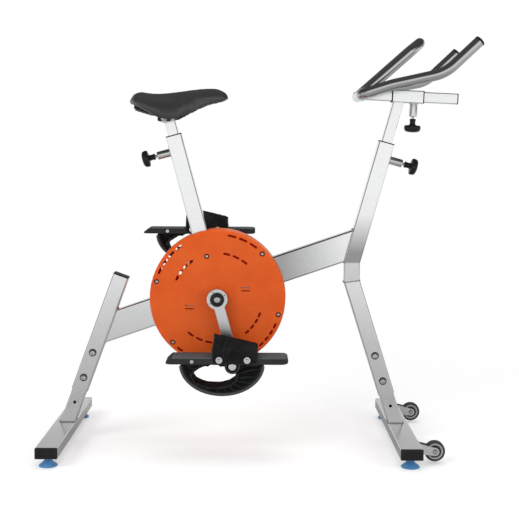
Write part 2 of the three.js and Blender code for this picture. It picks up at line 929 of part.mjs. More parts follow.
function slotCutters() {
  const deep = coverSkin + 2 * cutOverrun;
  const place = (bar, radius, angle) => moved(
    turned(bar, axisY, 90 - angle), radius * cos(angle), coverHalf - coverSkin / 2, radius * sin(angle),
  );
  const dashes = slotArcs.flatMap(({ from, to, dashes: count, radius }) => {
    const pitch = (to - from) / (count - slotBridgeShare);
    const dash = pitch * (1 - slotBridgeShare);
    const bar = block(radius * dash * degree, deep, slotWidth);
    return Array.from({ length: count }, (_, index) => (
      place(bar, radius, from + dash / 2 + index * pitch)
    ));
  });
  const drains = drainAngles.flatMap((angle) => [-1, 1].map((row) => moved(
    block(drainSlotLength, deep, drainSlotWidth),
    drainSlotRadius * cos(angle),
    coverHalf - coverSkin / 2,
    drainSlotRadius * sin(angle) + (row * drainSlotPitch) / 2,
  )));
  return [...dashes, ...drains];
}

/** One dished cover on the +Y side, in a frame whose origin is the crank axle. */
function housingCover() {
  const wallRadius = (depth) => coverRimRadius + (coverFaceRadius - coverRimRadius) * (depth / coverHalf);
  const arc = [90, 45, 0].map((angle) => [
    coverFaceRadius - coverEdgeRadius + coverEdgeRadius * cos(angle),
    coverHalf - coverEdgeRadius + coverEdgeRadius * sin(angle),
  ]);
  const innerEdge = coverEdgeRadius - coverSkin;
  const innerArc = [0, 90].map((angle) => [
    coverFaceRadius - coverEdgeRadius + innerEdge * cos(angle),
    coverHalf - coverEdgeRadius + innerEdge * sin(angle),
  ]);
  const dish = turned(revolvedRing([
    [coverHoleRadius, coverHalf],
    ...arc,
    [wallRadius(coverSeam), coverSeam],
    [wallRadius(coverSeam) - coverSkin, coverSeam],
    ...innerArc,
    [coverHoleRadius, coverHalf - coverSkin],
  ], coverSides), axisX, -90);
  const bosses = coverBoltPlaces().map(({ circle, x, z }) => {
    const foot = circle === coverBoltInner ? legTube / 2 + fitGap : coverSeam;
    const length = coverHalf - coverSkin / 2 - foot;
    return moved(rod(coverBossRadius, length, smallSides), x, foot + length / 2, z);
  });
  const bores = coverBoltPlaces().flatMap(({ x, z }) => [
    moved(way(coverBoltRadius, 2 * coverHalf, boreSides), x, coverHalf, z),
    moved(rod(coverBoreRadius, 2 * coverBoreDepth, smallSides), x, coverHalf, z),
  ]);
  const beamSlotHalf = beamWide / 2 + coverNotchGap;
  const beamNotch = turned(moved(
    block(3 * coverRimRadius, 2 * beamSlotHalf, beamTall + 2 * coverNotchGap), 0, 0, beamOverAxle,
  ), axisY, -beamSlope);
  const tubeSlotHalf = legTube / 2 + coverNotchGap;
  const tubeLength = seatTubeFoot();
  const seatNotch = moved(
    turned(moved(
      block(legTube + 2 * coverNotchGap, 2 * tubeSlotHalf, tubeLength), 0, 0, -tubeLength / 2,
    ), axisY, -seatLean),
    -seatTopBack, 0, seatTopHeight - axleHeight,
  );
  return cut(join([dish, ...bosses]), [...bores, ...slotCutters(), beamNotch, seatNotch]);
}

/** A through bolt with a head at one end and a sleeve nut at the other. */
function coverBolt() {
  const seat = coverHalf - coverBoreDepth + fitGap;
  const end = seat + coverBoltHeadHeight;
  const half = [
    [coverBoltRadius, seat],
    [coverBoltHeadRadius, seat],
    [coverBoltHeadRadius, end - coverBoltHeadHeight / 4],
    [coverBoltHeadRadius - coverBoltHeadHeight / 4, end],
    [0, end],
  ];
  const mirrored = half.map(([radius, height]) => [radius, -height]).reverse();
  return turned(revolved([...mirrored, ...half], boreSides), axisX, 90);
}

// Crank set, in a frame whose origin is the crank axle

function crankAxle() {
  const round = crankMid - crankThick / 2 - crankBossDepth;
  const square = crankMid + crankThick / 2 - cutOverrun;
  const bar = rod(axleRadius, 2 * round, roundSides);
  const ends = block(axleSquare, 2 * square, axleSquare);
  const threads = [-1, 1].map((hand) => moved(
    way(crankBoltRadius, 2 * crankBoltDepth, smallSides), 0, hand * square, 0,
  ));
  return cut(join([bar, ends]), threads);
}

/** A crank on the +Y side whose arm hangs straight down, with the pedal axle in its eye. */
function crank() {
  const outline = new THREE.Shape();
  const half = crankArmWidth / 2;
  const headAngle = Math.asin(half / crankHeadRadius);
  const eyeAngle = Math.asin(half / crankEyeRadius);
  const quarter = Math.PI / 2;
  outline.absarc(0, 0, crankHeadRadius, headAngle - quarter, 3 * quarter - headAngle, false);
  outline.absarc(0, -crankLength, crankEyeRadius, quarter + eyeAngle, 5 * quarter - eyeAngle, false);
  outline.closePath();
  const arm = moved(sidePlate(outline, crankThick, crankBevel), 0, crankMid, 0);
  const boss = moved(
    rod(crankBossRadius, crankBossDepth + weldDepth, fineSides),
    0, crankMid - crankThick / 2 - (crankBossDepth - weldDepth) / 2, 0,
  );
  const square = axleSquare + 2 * fitGap;
  const socket = moved(block(square, 3 * crankThick + 2 * crankBossDepth, square), 0, crankMid, 0);
  const axleStart = crankMid;
  const axleEnd = pedalMid + pedalWidth / 2 + pedalFlangeThick / 2;
  const axle = moved(
    rod(pedalAxleRadius, axleEnd - axleStart, roundSides), 0, (axleStart + axleEnd) / 2, -crankLength,
  );
  const collarEnd = pedalMid - pedalWidth / 2 - hoodSkin - 2 * fitGap;
  const collarStart = crankMid + crankThick / 2 - weldDepth;
  const collar = moved(
    rod(pedalAxleCollarRadius, collarEnd - collarStart, roundSides),
    0, (collarStart + collarEnd) / 2, -crankLength,
  );
  return join([cut(join([arm, boss]), [socket]), axle, collar]);
}

/** Crank bolt and its surrounding cap ring, along +Y from the crank's outer face. */
function crankCap() {
  const face = crankMid + crankThick / 2 + fitGap;
  const floor = face + crankCapFloor;
  const headEnd = floor + crankBoltHeadHeight;
  return turned(revolved([
    [0, face - crankBoltDepth + cutOverrun],
    [crankBoltRadius, face - crankBoltDepth + cutOverrun],
    [crankBoltRadius, face],
    [crankCapRadius, face],
    [crankCapRadius, face + crankCapHeight - crankCapFloor / 2],
    [crankCapRadius - crankCapFloor / 2, face + crankCapHeight],
    [crankCapBore + crankCapFloor / 2, face + crankCapHeight],
    [crankCapBore, face + crankCapHeight - crankCapFloor / 2],
    [crankCapBore, floor],
    [crankBoltHeadRadius, floor],
    [crankBoltHeadRadius, headEnd],
    [crankSocketRadius, headEnd],
    [crankSocketRadius, headEnd - crankSocketDepth],
    [0, headEnd - crankSocketDepth],
  ], fineSides), axisX, -90);
}

// Pedals, in a frame whose origin is the pedal axle at the plate's middle

function roundedOutline(back, front, halfWide, corner) {
  const outline = new THREE.Shape();
  outline.absarc(front - corner, halfWide - corner, corner, 0, Math.PI / 2, false);
  outline.absarc(-back + corner, halfWide - corner, corner, Math.PI / 2, Math.PI, false);
  outline.absarc(-back + corner, -halfWide + corner, corner, Math.PI, Math.PI * 1.5, false);
  outline.absarc(front - corner, -halfWide + corner, corner, Math.PI * 1.5, Math.PI * 2, false);
  outline.closePath();
  return outline;
}

/** A wedge that slopes the plate's heel end down from its top face. */
function heelWedge() {
  const low = new THREE.Vector2(-pedalHeel, pedalOverAxle + heelLip);
  const high = new THREE.Vector2(-pedalHeel + heelSlope, pedalTop);
  const run = high.clone().sub(low).normalize().multiplyScalar(cutOverrun);
  low.sub(run);
  high.add(run);
  const outer = new THREE.Vector2(low.x, high.y);
  return sidePlate(new THREE.Shape([low, high, outer]), pedalWidth + cutOverrun);
}

/** Foot plate with grip ribs, on a sleeve that runs on the pedal axle. Outer is the +Y side. */
function pedalPlatform() {
  const plate = new THREE.ExtrudeGeometry(
    roundedOutline(pedalHeel, pedalToe, pedalWidth / 2, pedalCorner),
    {
      depth: pedalThick - 2 * pedalEdge,
      bevelEnabled: true,
      bevelThickness: pedalEdge,
      bevelSize: pedalEdge,
      bevelOffset: -pedalEdge,
      bevelSegments: 1,
      curveSegments: 4,
    },
  );
  plate.translate(0, 0, pedalOverAxle + pedalEdge);
  const ribLength = pedalWidth - 2 * gripRibInset;
  const ribSpan = pedalHeel + pedalToe - 2 * gripRibInset;
  const ribCount = Math.floor(ribSpan / gripRibPitch);
  const ribs = Array.from({ length: ribCount }, (_, index) => moved(
    block(gripRibWide, ribLength, gripRibTall + weldDepth),
    -pedalHeel + gripRibInset + (index + 0.5) * (ribSpan / ribCount),
    0,
    pedalTop + (gripRibTall - weldDepth) / 2,
  ));
  const sleeve = rod(pedalSleeveRadius, pedalWidth, roundSides);
  const flange = moved(
    rod(pedalFlangeRadius, pedalFlangeThick, fineSides), 0, (pedalWidth - pedalFlangeThick) / 2, 0,
  );
  const bore = way(pedalAxleRadius, pedalWidth + cutOverrun, roundSides);
  return cut(join([plate, ...ribs, sleeve, flange]), [bore, heelWedge()]);
}

/** Instep hood: an arch that hugs the plate's sides and drops towards the toes. */
function pedalHood() {
  const inner = pedalWidth / 2 + fitGap;
  const outer = inner + hoodSkin;
  const arch = new THREE.Shape();
  arch.moveTo(outer, hoodTabRise);
  arch.lineTo(outer, pedalTop);
  arch.absellipse(0, pedalTop, outer, hoodRearRise, 0, Math.PI, false, 0);
  arch.lineTo(-outer, hoodTabRise);
  arch.lineTo(-inner, hoodTabRise);
  arch.lineTo(-inner, pedalTop);
  arch.absellipse(0, pedalTop, inner, hoodRearRise - hoodSkin, Math.PI, 0, true, 0);
  arch.lineTo(inner, hoodTabRise);
  arch.closePath();
  const length = hoodBack + hoodFront;
  const hood = new THREE.ExtrudeGeometry(arch, {
    depth: length, steps: 4, bevelEnabled: false, curveSegments: roundSides,
  });
  hood.rotateX(Math.PI / 2);
  hood.rotateZ(Math.PI / 2);
  const places = hood.getAttribute('position');
  for (let index = 0; index < places.count; index += 1) {
    const share = places.getX(index) / length;
    const rise = places.getZ(index) - pedalTop;
    if (rise > 0) {
      places.setZ(index, pedalTop + rise * (1 + share * (hoodFrontRise / hoodRearRise - 1)));
    }
  }
  return moved(hood, -hoodBack, 0, 0);
}

/** Padded lower loop: a half-oval band under the plate, open from side to side. */
function pedalLoop() {
  const top = pedalOverAxle - fitGap;
  const middle = (loopFront - loopBack) / 2;
  const reach = (loopFront + loopBack) / 2;
  const outline = new THREE.Shape();
  outline.moveTo(middle + reach, top);
  outline.absellipse(middle, top, reach, loopDrop + top, 0, Math.PI, true, 0);
  outline.closePath();
  const band = sidePlate(outline, loopWidth, loopEdge);
  const hole = new THREE.Shape();
  const holeReach = (loopHoleFront + loopHoleBack) / 2;
  const holeMiddle = (loopHoleFront - loopHoleBack) / 2;
  const holeDrop = (loopHoleBottom - loopHoleTop) / 2;
  hole.absellipse(holeMiddle, -loopHoleTop - holeDrop, holeReach, holeDrop, 0, 2 * Math.PI, false, 0);
  const footWay = sidePlate(hole, loopWidth + cutOverrun);
  const sleeveWay = way(pedalSleeveRadius, pedalWidth, roundSides);
  const flangeWay = moved(
    way(pedalFlangeRadius, pedalFlangeThick + 2 * fitGap, roundSides),
    0, (pedalWidth - pedalFlangeThick) / 2, 0,
  );
  return cut(band, [footWay, sleeveWay, flangeWay]);
}

// Seat post and saddle

/** Index holes down one face of a post: along +X for side 1, -X for side -1. */
function indexRow(side, pinHeight) {
  const hole = moved(
    rod(indexHoleRadius, postTube / 2, indexSides, axisX), (side * postTube) / 2, 0, 0,
  );
  return Array.from({ length: indexHoles }, (_, index) => moved(
    hole, 0, 0, pinHeight + (1 - index) * indexPitch,
  ));
}

/** The clamp barrel's place above the seat tube's top, in the leaning seat frame. */
const barrelBack = -clampBack;
const barrelHeight = bushFlange + seatPostShown + clampRise;

function seatPost() {
  const top = bushFlange + seatPostShown;
  const tube = squareTube(postTube, postWall, postCorner, -seatPostHidden, top);
  const head = moved(block(postTube, 2 * barrelHalf - 2 * fitGap, barrelRadius), 0, 0, top - weldDepth);
  const barrel = moved(rod(barrelRadius, 2 * barrelHalf, fineSides), barrelBack, 0, barrelHeight);
  const bore = moved(
    way(clampBoltRadius, 4 * barrelHalf, roundSides), barrelBack, 0, barrelHeight,
  );
  return cut(join([tube, head, barrel]), [bore, ...indexRow(-1, -bossBelowTop)]);
}

/** Cross bolt with two cheeks that hold the rails; the origin is the bolt's middle. */
function saddleClamp() {
  const inner = barrelHalf + fitGap;
  const outer = inner + cheekThick;
  const bolt = rod(clampBoltRadius, 2 * outer, roundSides);
  const heads = [-1, 1].map((hand) => moved(
    rod(clampBoltHeadRadius, clampBoltHeadHeight + weldDepth, smallSides),
    0, hand * (outer + (clampBoltHeadHeight - weldDepth) / 2), 0,
  ));
  const cheeks = [-1, 1].map((hand) => moved(
    block(cheekLength, cheekThick, cheekTall), 0, hand * (inner + cheekThick / 2), cheekRise,
  ));
  const ways = [-1, 1].map((hand) => moved(
    way(railRadius, cheekLength + cutOverrun, smallSides, axisX),
    0, (hand * railSpacing) / 2, railRise,
  ));
  return cut(join([bolt, ...heads, ...cheeks]), ways);
}

/** Saddle outline as shares: along, half width, top height, skirt height, hollow height. */
const saddleStationShares = [
  [0.012, 0.24, 0.63, 0.52, 0.56],
  [0.05, 0.62, 0.78, 0.45, 0.54],
  [0.11, 0.88, 0.85, 0.37, 0.48],
  [0.2, 1.0, 0.81, 0.23, 0.42],
  [0.3, 0.98, 0.79, 0.08, 0.4],
  [0.41, 0.78, 0.82, 0.02, 0.4],
  [0.52, 0.55, 0.87, 0.1, 0.42],
  [0.64, 0.41, 0.93, 0.26, 0.46],
  [0.77, 0.35, 0.98, 0.45, 0.55],
  [0.88, 0.31, 0.99, 0.55, 0.61],
  [0.96, 0.24, 0.88, 0.62, 0.66],
  [0.992, 0.12, 0.76, 0.66, 0.68],
];

/** Half of a station's outline as shares of its half width and of its height. */
const saddleHalfShares = [
  [0.0, 0.955],
  [0.16, 0.98],
  [0.36, 1.0],
  [0.6, 0.93],
  [0.82, 0.76],
  [0.96, 0.5],
  [1.0, 0.24],
  [0.93, 0.05],
  [0.82, 0.0],
];
const saddleHollowShares = [[0.66, 0.7], [0.34, 1]];
const saddleSteps = 16;

function saddleCushion() {
  const curves = [1, 2, 3, 4].map((column) => new THREE.SplineCurve(
    saddleStationShares.map((row) => new THREE.Vector2(row[0], row[column])),
  ));
  const rings = Array.from({ length: saddleSteps + 1 }, (_, step) => {
    const [wide, top, skirt, hollow] = curves.map((curve) => curve.getPoint(step / saddleSteps));
    const along = wide.x * saddleLength;
    const half = (wide.y * saddleWidth) / 2;
    const low = skirt.y * saddleHeight;
    const high = top.y * saddleHeight;
    const under = Math.max(hollow.y * saddleHeight, low + fitGap);
    const side = saddleHalfShares.map(([out, up]) => [out * half, low + up * (high - low)]);
    saddleHollowShares.forEach(([out, up]) => side.push([out * half, low + up * (under - low)]));
    const mirrored = side.slice(1).reverse().map(([out, up]) => [-out, up]);
    return [...side, ...mirrored].map(([y, z]) => new THREE.Vector3(along, y, z));
  });
  return moved(skinned(rings, false), -saddleTailBack, 0, -saddleBaseDrop);
}

/** One wire bent from tail to nose and back, with its origin at the clamp bolt. */
function railWire(radius) {
  const half = railSpacing / 2;
  const reach = railStraight / 2;
  const side = (hand) => [
    new THREE.Vector3(-railTail, hand * half * railTailShare, railTailRise),
    new THREE.Vector3(-reach, hand * half, railRise),
    new THREE.Vector3(reach, hand * half, railRise),
    new THREE.Vector3(railNose, hand * half * railNoseShare, railNoseRise),
  ];
  const corners = [...side(1), ...side(-1).reverse()];
  const bend = [2 * railBend, 2 * railBend, railBend, railBend, 2 * railBend, 2 * railBend];
  return roundBar(roundedPath(corners, bend, pathSteps), radius, smallSides);
}

/** Cushion and shell in one, with the sockets that take the rails at tail and nose. */
function saddle() {
  const rearTop = railTailRise + socketTall;
  const tall = socketTall + socketWall;
  const rear = moved(
    block(socketLong, railSpacing * railTailShare + 2 * socketWall, tall),
    -railTail + socketLong / 2 - socketWall, 0, rearTop - tall / 2,
  );
  const front = moved(
    block(socketLong, railSpacing * railNoseShare + 2 * socketWall, tall),
    railNose - socketLong / 2 + socketWall, 0, railNoseRise + (socketTall - socketWall) / 2,
  );
  const ways = railWire(clearRadius(railRadius, smallSides));
  return cut(join([saddleCushion(), rear, front]), [ways]);
}

// Handlebar post, slider and bars

/** Where the post's axis meets the sleeve, above the column's top in the column's frame. */
const sleeveX = columnTopX + sleeveAboveColumn * tan(columnLean) + sleeveOverlap;

function barPost() {
  const height = sleeveAboveColumn / cos(columnLean);
  const head = height - postHeadShare * sleeveTube;
  const post = squareTube(postTube, postWall, postCorner, -barPostHidden, head);
  const sleeveSolid = swept({
    points: [new THREE.Vector3(-sleeveLength / 2, 0, 0), new THREE.Vector3(sleeveLength / 2, 0, 0)],
    up: axisZ,
    outer: rectangleRing(sleeveTube, sleeveTube, postCorner),
  });
  const sleeveBore = sleeveTube - 2 * sleeveWall;
  const bossHeight = sleeveTube / 2;
  const boss = turned(moved(pinBoss(bossHeight), 0, 0, reachBossAhead), axisY, 90);
  const bore = turned(moved(
    pinBore(bossHeight - sleeveWall - cutOverrun, bossLength + sleeveWall + 2 * cutOverrun),
    0, 0, reachBossAhead,
  ), axisY, 90);
  const place = (shape) => moved(
    turned(shape, axisY, sliderTilt), sleeveX - columnTopX, 0, sleeveAboveColumn,
  );
  const inColumn = (shape) => turned(place(shape), axisY, -columnLean);
  const hollow = block(sleeveLength + cutOverrun, sleeveBore, sleeveBore);
  return cut(join([post, inColumn(sleeveSolid), inColumn(boss)]), [
    inColumn(hollow), inColumn(bore), ...indexRow(1, -bossBelowTop),
  ]);
}

/** A flanged bush pressed into one end of the sleeve; the flange is on the +X side. */
function sleeveBush() {
  const outer = sleeveTube - 2 * (sleeveWall + fitGap);
  const body = moved(block(sleeveBushDepth, outer, outer), -sleeveBushDepth / 2 + weldDepth, 0, 0);
  const flange = moved(block(bushFlange, sleeveTube, sleeveTube), bushFlange / 2 + fitGap, 0, 0);
  const inner = postTube + 2 * fitGap;
  return cut(join([body, flange]), [block(3 * sleeveBushDepth, inner, inner)]);
}

/** The slider tube along X, its origin at the sleeve's middle, coped round the rear bar. */
function sliderTube() {
  const tube = boxTube({
    path: [[-sliderBack, 0], [sliderFront, 0]],
    tall: postTube,
    wide: postTube,
    wall: postWall,
    corner: postCorner,
  });
  const cope = moved(way(barRadius, 2 * postTube, fineSides), -sliderBack, 0, -barDrop);
  const pinHole = moved(
    rod(indexHoleRadius, postTube / 2, indexSides, axisZ), reachBossAhead, 0, -postTube / 2,
  );
  const row = [-2, -1, 0, 1, 2, 3].map((index) => moved(pinHole, index * indexPitch, 0, 0));
  return cut(tube, [cope, ...row]);
}

function hornCorners(hand) {
  return [
    new THREE.Vector3(0, hand * barRearHalf, 0),
    new THREE.Vector3(barElbowAhead, hand * barElbowHalf, barElbowRise),
    new THREE.Vector3(hornBendAhead, hand * hornHalf, hornBendRise),
    new THREE.Vector3(hornTipAhead, hand * hornHalf, hornTipRise),
  ];
}

function hornHeading() {
  return new THREE.Vector3(hornTipAhead - hornBendAhead, 0, hornTipRise - hornBendRise).normalize();
}

/** The U tube and its raised loop, hollow throughout; the origin is the rear bar's middle. */
function handlebar() {
  const tube = (radius, sides, extra) => {
    const corners = [...hornCorners(1).reverse(), ...hornCorners(-1)];
    [corners[0], corners[corners.length - 1]].forEach((tip) => {
      tip.addScaledVector(hornHeading(), extra);
    });
    const bends = [hornBend, barElbowBend, barRearBend, barRearBend, barElbowBend, hornBend];
    return roundBar(roundedPath(corners, bends, pathSteps), radius, sides);
  };
  const raised = (radius, sides) => {
    const corners = [
      new THREE.Vector3(0, loopHalf, 0),
      new THREE.Vector3(loopTopAhead, loopHalf, loopTopRise),
      new THREE.Vector3(loopTopAhead, -loopHalf, loopTopRise),
      new THREE.Vector3(0, -loopHalf, 0),
    ];
    return roundBar(roundedPath(corners, [loopBend, loopBend], 2 * pathSteps), radius, sides, axisX);
  };
  const bore = barRadius - barWall;
  return cut(join([tube(barRadius, roundSides, 0), raised(barRadius, roundSides)]), [
    join([tube(bore, boreSides, cutOverrun), raised(bore, boreSides)]),
  ]);
}

/** A domed plug for a horn's open end, along +Z. */
function hornCap() {
  const plug = (barRadius - barWall) * cos(180 / boreSides) - fitGap;
  const dome = hornCapShares.map(([across, up]) => [across * barRadius, fitGap + up * hornCapLength]);
  return revolved([[0, -hornCapPlug], [plug, -hornCapPlug], [plug, fitGap], ...dome]);
}

// Wheels

function wheel() {
  const half = wheelWide / 2;
  const webHalf = wheelWebThick / 2;
  const treadHalf = half - wheelTreadInset;
  const rim = wheelRadius - wheelTreadDepth;
  const side = (hand) => [
    [wheelBore, hand * half],
    [wheelHubRadius, hand * half],
    [wheelHubRadius, hand * webHalf],
    [rim, hand * webHalf],
    [rim, hand * treadHalf],
    [wheelRadius - wheelRounding, hand * treadHalf],
    [wheelRadius, hand * (treadHalf - wheelRounding)],
  ];
  return turned(revolvedRing([...side(-1), ...side(1).reverse()], fineSides), axisX, 90);
}

// Assembly

const bike = new THREE.Group();
bike.name = 'aqua_bike';

function addBases() {
  const ends = [['right', -1], ['left', 1]];
  const bars = [
    ['rear', -rearBaseBack, {
      stubOffset: rearStubAhead, stubLean: rearLegLean, stubShown: rearStubShown,
    }],
    ['front', frontBaseAhead, {
      stubOffset: -frontStubBack, stubLean: -frontLegLean, stubShown: frontStubShown, forks: true,
    }],
  ];
  bars.forEach(([where, x, sizes]) => {
    const station = group(bike, x);
    piece(station, `${where}_base`, baseBar(sizes), steel);
    ends.forEach(([side, hand]) => {
      const beyond = baseLength / 2 + fitGap + baseCapFlange / 2;
      const end = group(station, 0, hand * beyond, baseTop - baseTall / 2);
      end.rotation.z = hand > 0 ? Math.PI : 0;
      piece(end, `${where}_${side}_cap`, baseCap(), blackPlastic);
      const stand = group(station, 0, hand * (baseLength / 2 - footInset), 0);
      piece(stand, `${where}_${side}_foot`, suctionFoot(), blueRubber);
    });
  });
  ends.forEach(([side, hand]) => {
    const spot = group(bike, frontBaseAhead + wheelAhead, hand * wheelSide, wheelHeight);
    piece(spot, `${side}_wheel`, wheel(), greyRubber);
  });
}

function addLegs() {
  const rear = group(bike, rearStubX, 0, baseTop, rearLegLean);
  piece(rear, 'rear_leg', rearLeg(), steel);
  piece(group(rear, 0, 0, rearStubShown + legBoltRise), 'rear_leg_bolts', legBolts(), polishedSteel);
  const end = group(rear, 0, 0, rearStubShown + rearLegLength + fitGap);
  const cap = squareCap(legTube, legWall, legCorner, legCapThick, legCapPlug);
  piece(end, 'rear_leg_cap', cap, blackPlastic);
  const front = group(bike, frontStubX, 0, baseTop, -frontLegLean);
  piece(front, 'front_leg', frontLeg(), steel);
  piece(group(front, 0, 0, frontStubShown + legBoltRise), 'front_leg_bolts', legBolts(), polishedSteel);
}

function addFrame() {
  piece(bike, 'front_column', frontColumn(), steel);
  const column = group(bike, columnTopX, 0, columnTopHeight, columnLean);
  piece(column, 'column_bush', postBush(1), blackPlastic);
  const beam = group(bike, 0, 0, axleHeight, -beamSlope);
  piece(beam, 'main_beam', mainBeam(), steel);
  const axle = group(bike, 0, 0, axleHeight);
  piece(axle, 'bracket_shell', bracketShell(), steel);
  const inset = shellHalf - bearingWide / 2;
  piece(group(axle, 0, -inset), 'right_bearing', bearing(), polishedSteel);
  piece(group(axle, 0, inset), 'left_bearing', bearing(), polishedSteel);
  const seat = group(bike, -seatTopBack, 0, seatTopHeight, -seatLean);
  piece(seat, 'seat_tube', seatTube(), steel);
  piece(seat, 'seat_bush', postBush(-1), blackPlastic);
}

function addHousing() {
  const axle = group(bike, 0, 0, axleHeight);
  const left = housingCover();
  piece(axle, 'left_cover', left, orangePlastic);
  piece(axle, 'right_cover', left.clone().scale(1, -1, 1), orangePlastic);
  coverBoltPlaces().forEach(({ x, z }, index) => {
    piece(group(axle, x, 0, z), `cover_bolt_${index + 1}`, coverBolt(), polishedSteel);
  });
}

function addPedal(holder, side, hand) {
  const turn = (shape) => (hand > 0 ? shape : shape.clone().scale(1, -1, 1));
  piece(holder, `${side}_pedal`, turn(pedalPlatform()), blackPlastic);
  piece(holder, `${side}_pedal_hood`, turn(pedalHood()), blackFabric);
  piece(holder, `${side}_pedal_loop`, turn(pedalLoop()), blackFabric);
}

/** The right crank hangs down and a little forward; the left one stands opposite. */
function addCrankset() {
  const axle = group(bike, 0, 0, axleHeight);
  piece(group(axle, 0, 0, 0, -crankForward), 'crank_axle', crankAxle(), polishedSteel);
  [['right', -1], ['left', 1]].forEach(([side, hand]) => {
    const lean = hand < 0 ? -crankForward : 180 - crankForward;
    const holder = group(axle, 0, 0, 0, lean);
    const mirror = (shape) => (hand > 0 ? shape : shape.clone().scale(1, -1, 1));
    piece(holder, `${side}_crank`, mirror(crank()), steel);
    piece(holder, `${side}_crank_cap`, mirror(crankCap()), blackPlastic);
    addPedal(group(holder, 0, hand * pedalMid, -crankLength, -lean), side, hand);
  });
}

function addSeat() {
  const seat = group(bike, -seatTopBack, 0, seatTopHeight, -seatLean);
  piece(seat, 'seat_post', seatPost(), steel);
  const pin = group(seat, 0, 0, -bossBelowTop);
  pin.rotation.z = Math.PI;
  piece(pin, 'seat_pin', pullPin(postTube / 2, legTube / 2 + bossLength), blackPlastic);
  const pivot = group(seat, barrelBack, 0, barrelHeight, seatLean);
  piece(pivot, 'saddle_clamp', saddleClamp(), blackPlastic);
  piece(pivot, 'saddle_rails', railWire(railRadius), polishedSteel);
  piece(pivot, 'saddle', saddle(), blackPlastic);
}

function addBars() {
  const column = group(bike, columnTopX, 0, columnTopHeight, columnLean);
  piece(column, 'handlebar_post', barPost(), steel);
  const height = group(column, 0, 0, -bossBelowTop);
  piece(height, 'height_pin', pullPin(postTube / 2, legTube / 2 + bossLength), blackPlastic);
  const sleeve = group(bike, sleeveX, 0, columnTopHeight + sleeveAboveColumn, sliderTilt);
  piece(group(sleeve, sleeveLength / 2), 'sleeve_front_bush', sleeveBush(), blackPlastic);
  const rear = group(sleeve, -sleeveLength / 2, 0, 0, 180);
  piece(rear, 'sleeve_rear_bush', sleeveBush(), blackPlastic);
  const reach = group(sleeve, reachBossAhead, 0, 0, 90);
  piece(reach, 'reach_pin', pullPin(postTube / 2, sleeveTube / 2 + bossLength), blackPlastic);
  piece(sleeve, 'slider_tube', sliderTube(), steel);
  const end = group(sleeve, sliderFront + fitGap, 0, 0, 90);
  const cap = squareCap(postTube, postWall, postCorner, sliderCapThick, sliderCapPlug);
  piece(end, 'slider_cap', cap, blackPlastic);
  const bar = group(sleeve, -sliderBack, 0, -barDrop, -sliderTilt);
  piece(bar, 'handlebar', handlebar(), polishedSteel);
  const rise = Math.atan2(hornTipRise - hornBendRise, hornTipAhead - hornBendAhead) / degree;
  [['right', -1], ['left', 1]].forEach(([side, hand]) => {
    const tip = group(bar, hornTipAhead, hand * hornHalf, hornTipRise, 90 - rise);
    piece(tip, `${side}_horn_cap`, hornCap(), blackPlastic);
  });
}

addBases();
addLegs();
addFrame();
addHousing();
addCrankset();
addSeat();
addBars();

// The finished bike stands centred over the floor
bike.updateMatrixWorld(true);
const extent = new THREE.Box3().setFromObject(bike, true);
bike.position.x = -(extent.min.x + extent.max.x) / 2;

export default bike;
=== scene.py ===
"""Underwater exercise bike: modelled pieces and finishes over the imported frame."""

from __future__ import annotations

import logging
import math
from dataclasses import dataclass, field, replace
from enum import Enum
from functools import cache
from typing import Callable, Sequence

import bmesh
import bpy
from mathutils import Matrix, Vector, noise


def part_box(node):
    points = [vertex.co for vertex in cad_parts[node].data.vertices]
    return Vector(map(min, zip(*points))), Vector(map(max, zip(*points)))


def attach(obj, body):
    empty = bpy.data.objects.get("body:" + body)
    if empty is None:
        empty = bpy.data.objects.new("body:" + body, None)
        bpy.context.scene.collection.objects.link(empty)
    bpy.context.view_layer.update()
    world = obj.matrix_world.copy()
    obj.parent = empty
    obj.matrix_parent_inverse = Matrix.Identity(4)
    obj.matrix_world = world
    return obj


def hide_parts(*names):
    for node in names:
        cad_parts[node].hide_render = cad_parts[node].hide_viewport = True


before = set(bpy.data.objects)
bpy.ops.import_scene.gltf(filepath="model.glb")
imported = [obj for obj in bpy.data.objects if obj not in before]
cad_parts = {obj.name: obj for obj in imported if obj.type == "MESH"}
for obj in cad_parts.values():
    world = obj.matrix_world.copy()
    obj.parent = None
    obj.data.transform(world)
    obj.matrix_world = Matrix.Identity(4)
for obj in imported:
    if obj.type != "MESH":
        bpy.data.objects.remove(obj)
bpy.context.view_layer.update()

log = logging.getLogger("aqua_bike")

Ring = list[tuple[float, float]]
Profile = Sequence[tuple[float, float]]
Triple = tuple[float, float, float]
Held = Callable[[Vector], bool]
Socket = bpy.types.NodeSocket

X = Vector((1, 0, 0))
Y = Vector((0, 1, 0))
Z = Vector((0, 0, 1))
# Clearance between neighbouring pieces, and how far a cutting tool runs past a face
GAP = 0.0003
OVERRUN = 0.002
# Points this near the axis lie on it, and points this near each other are merged
ON_AXIS = 1e-7
SAME_PLACE = 1e-6
# How much of a side one rounding may take up
SIDE_SHARE = 0.45
# Edges above this angle stay crisp, in degrees
SHARP = 38.0
TEMPLATE_SHARP = 40.0
CLOTH_FRAMES = 20
# Pointiness where an edge begins to be rubbed, and where it is rubbed bare; on cloth the same range lightens
# fold crests as a painted highlight
WEAR_AND_HIGHLIGHT_EDGE = (0.505, 0.56)
HANDS = {"right": -1, "left": 1}


# Shapes


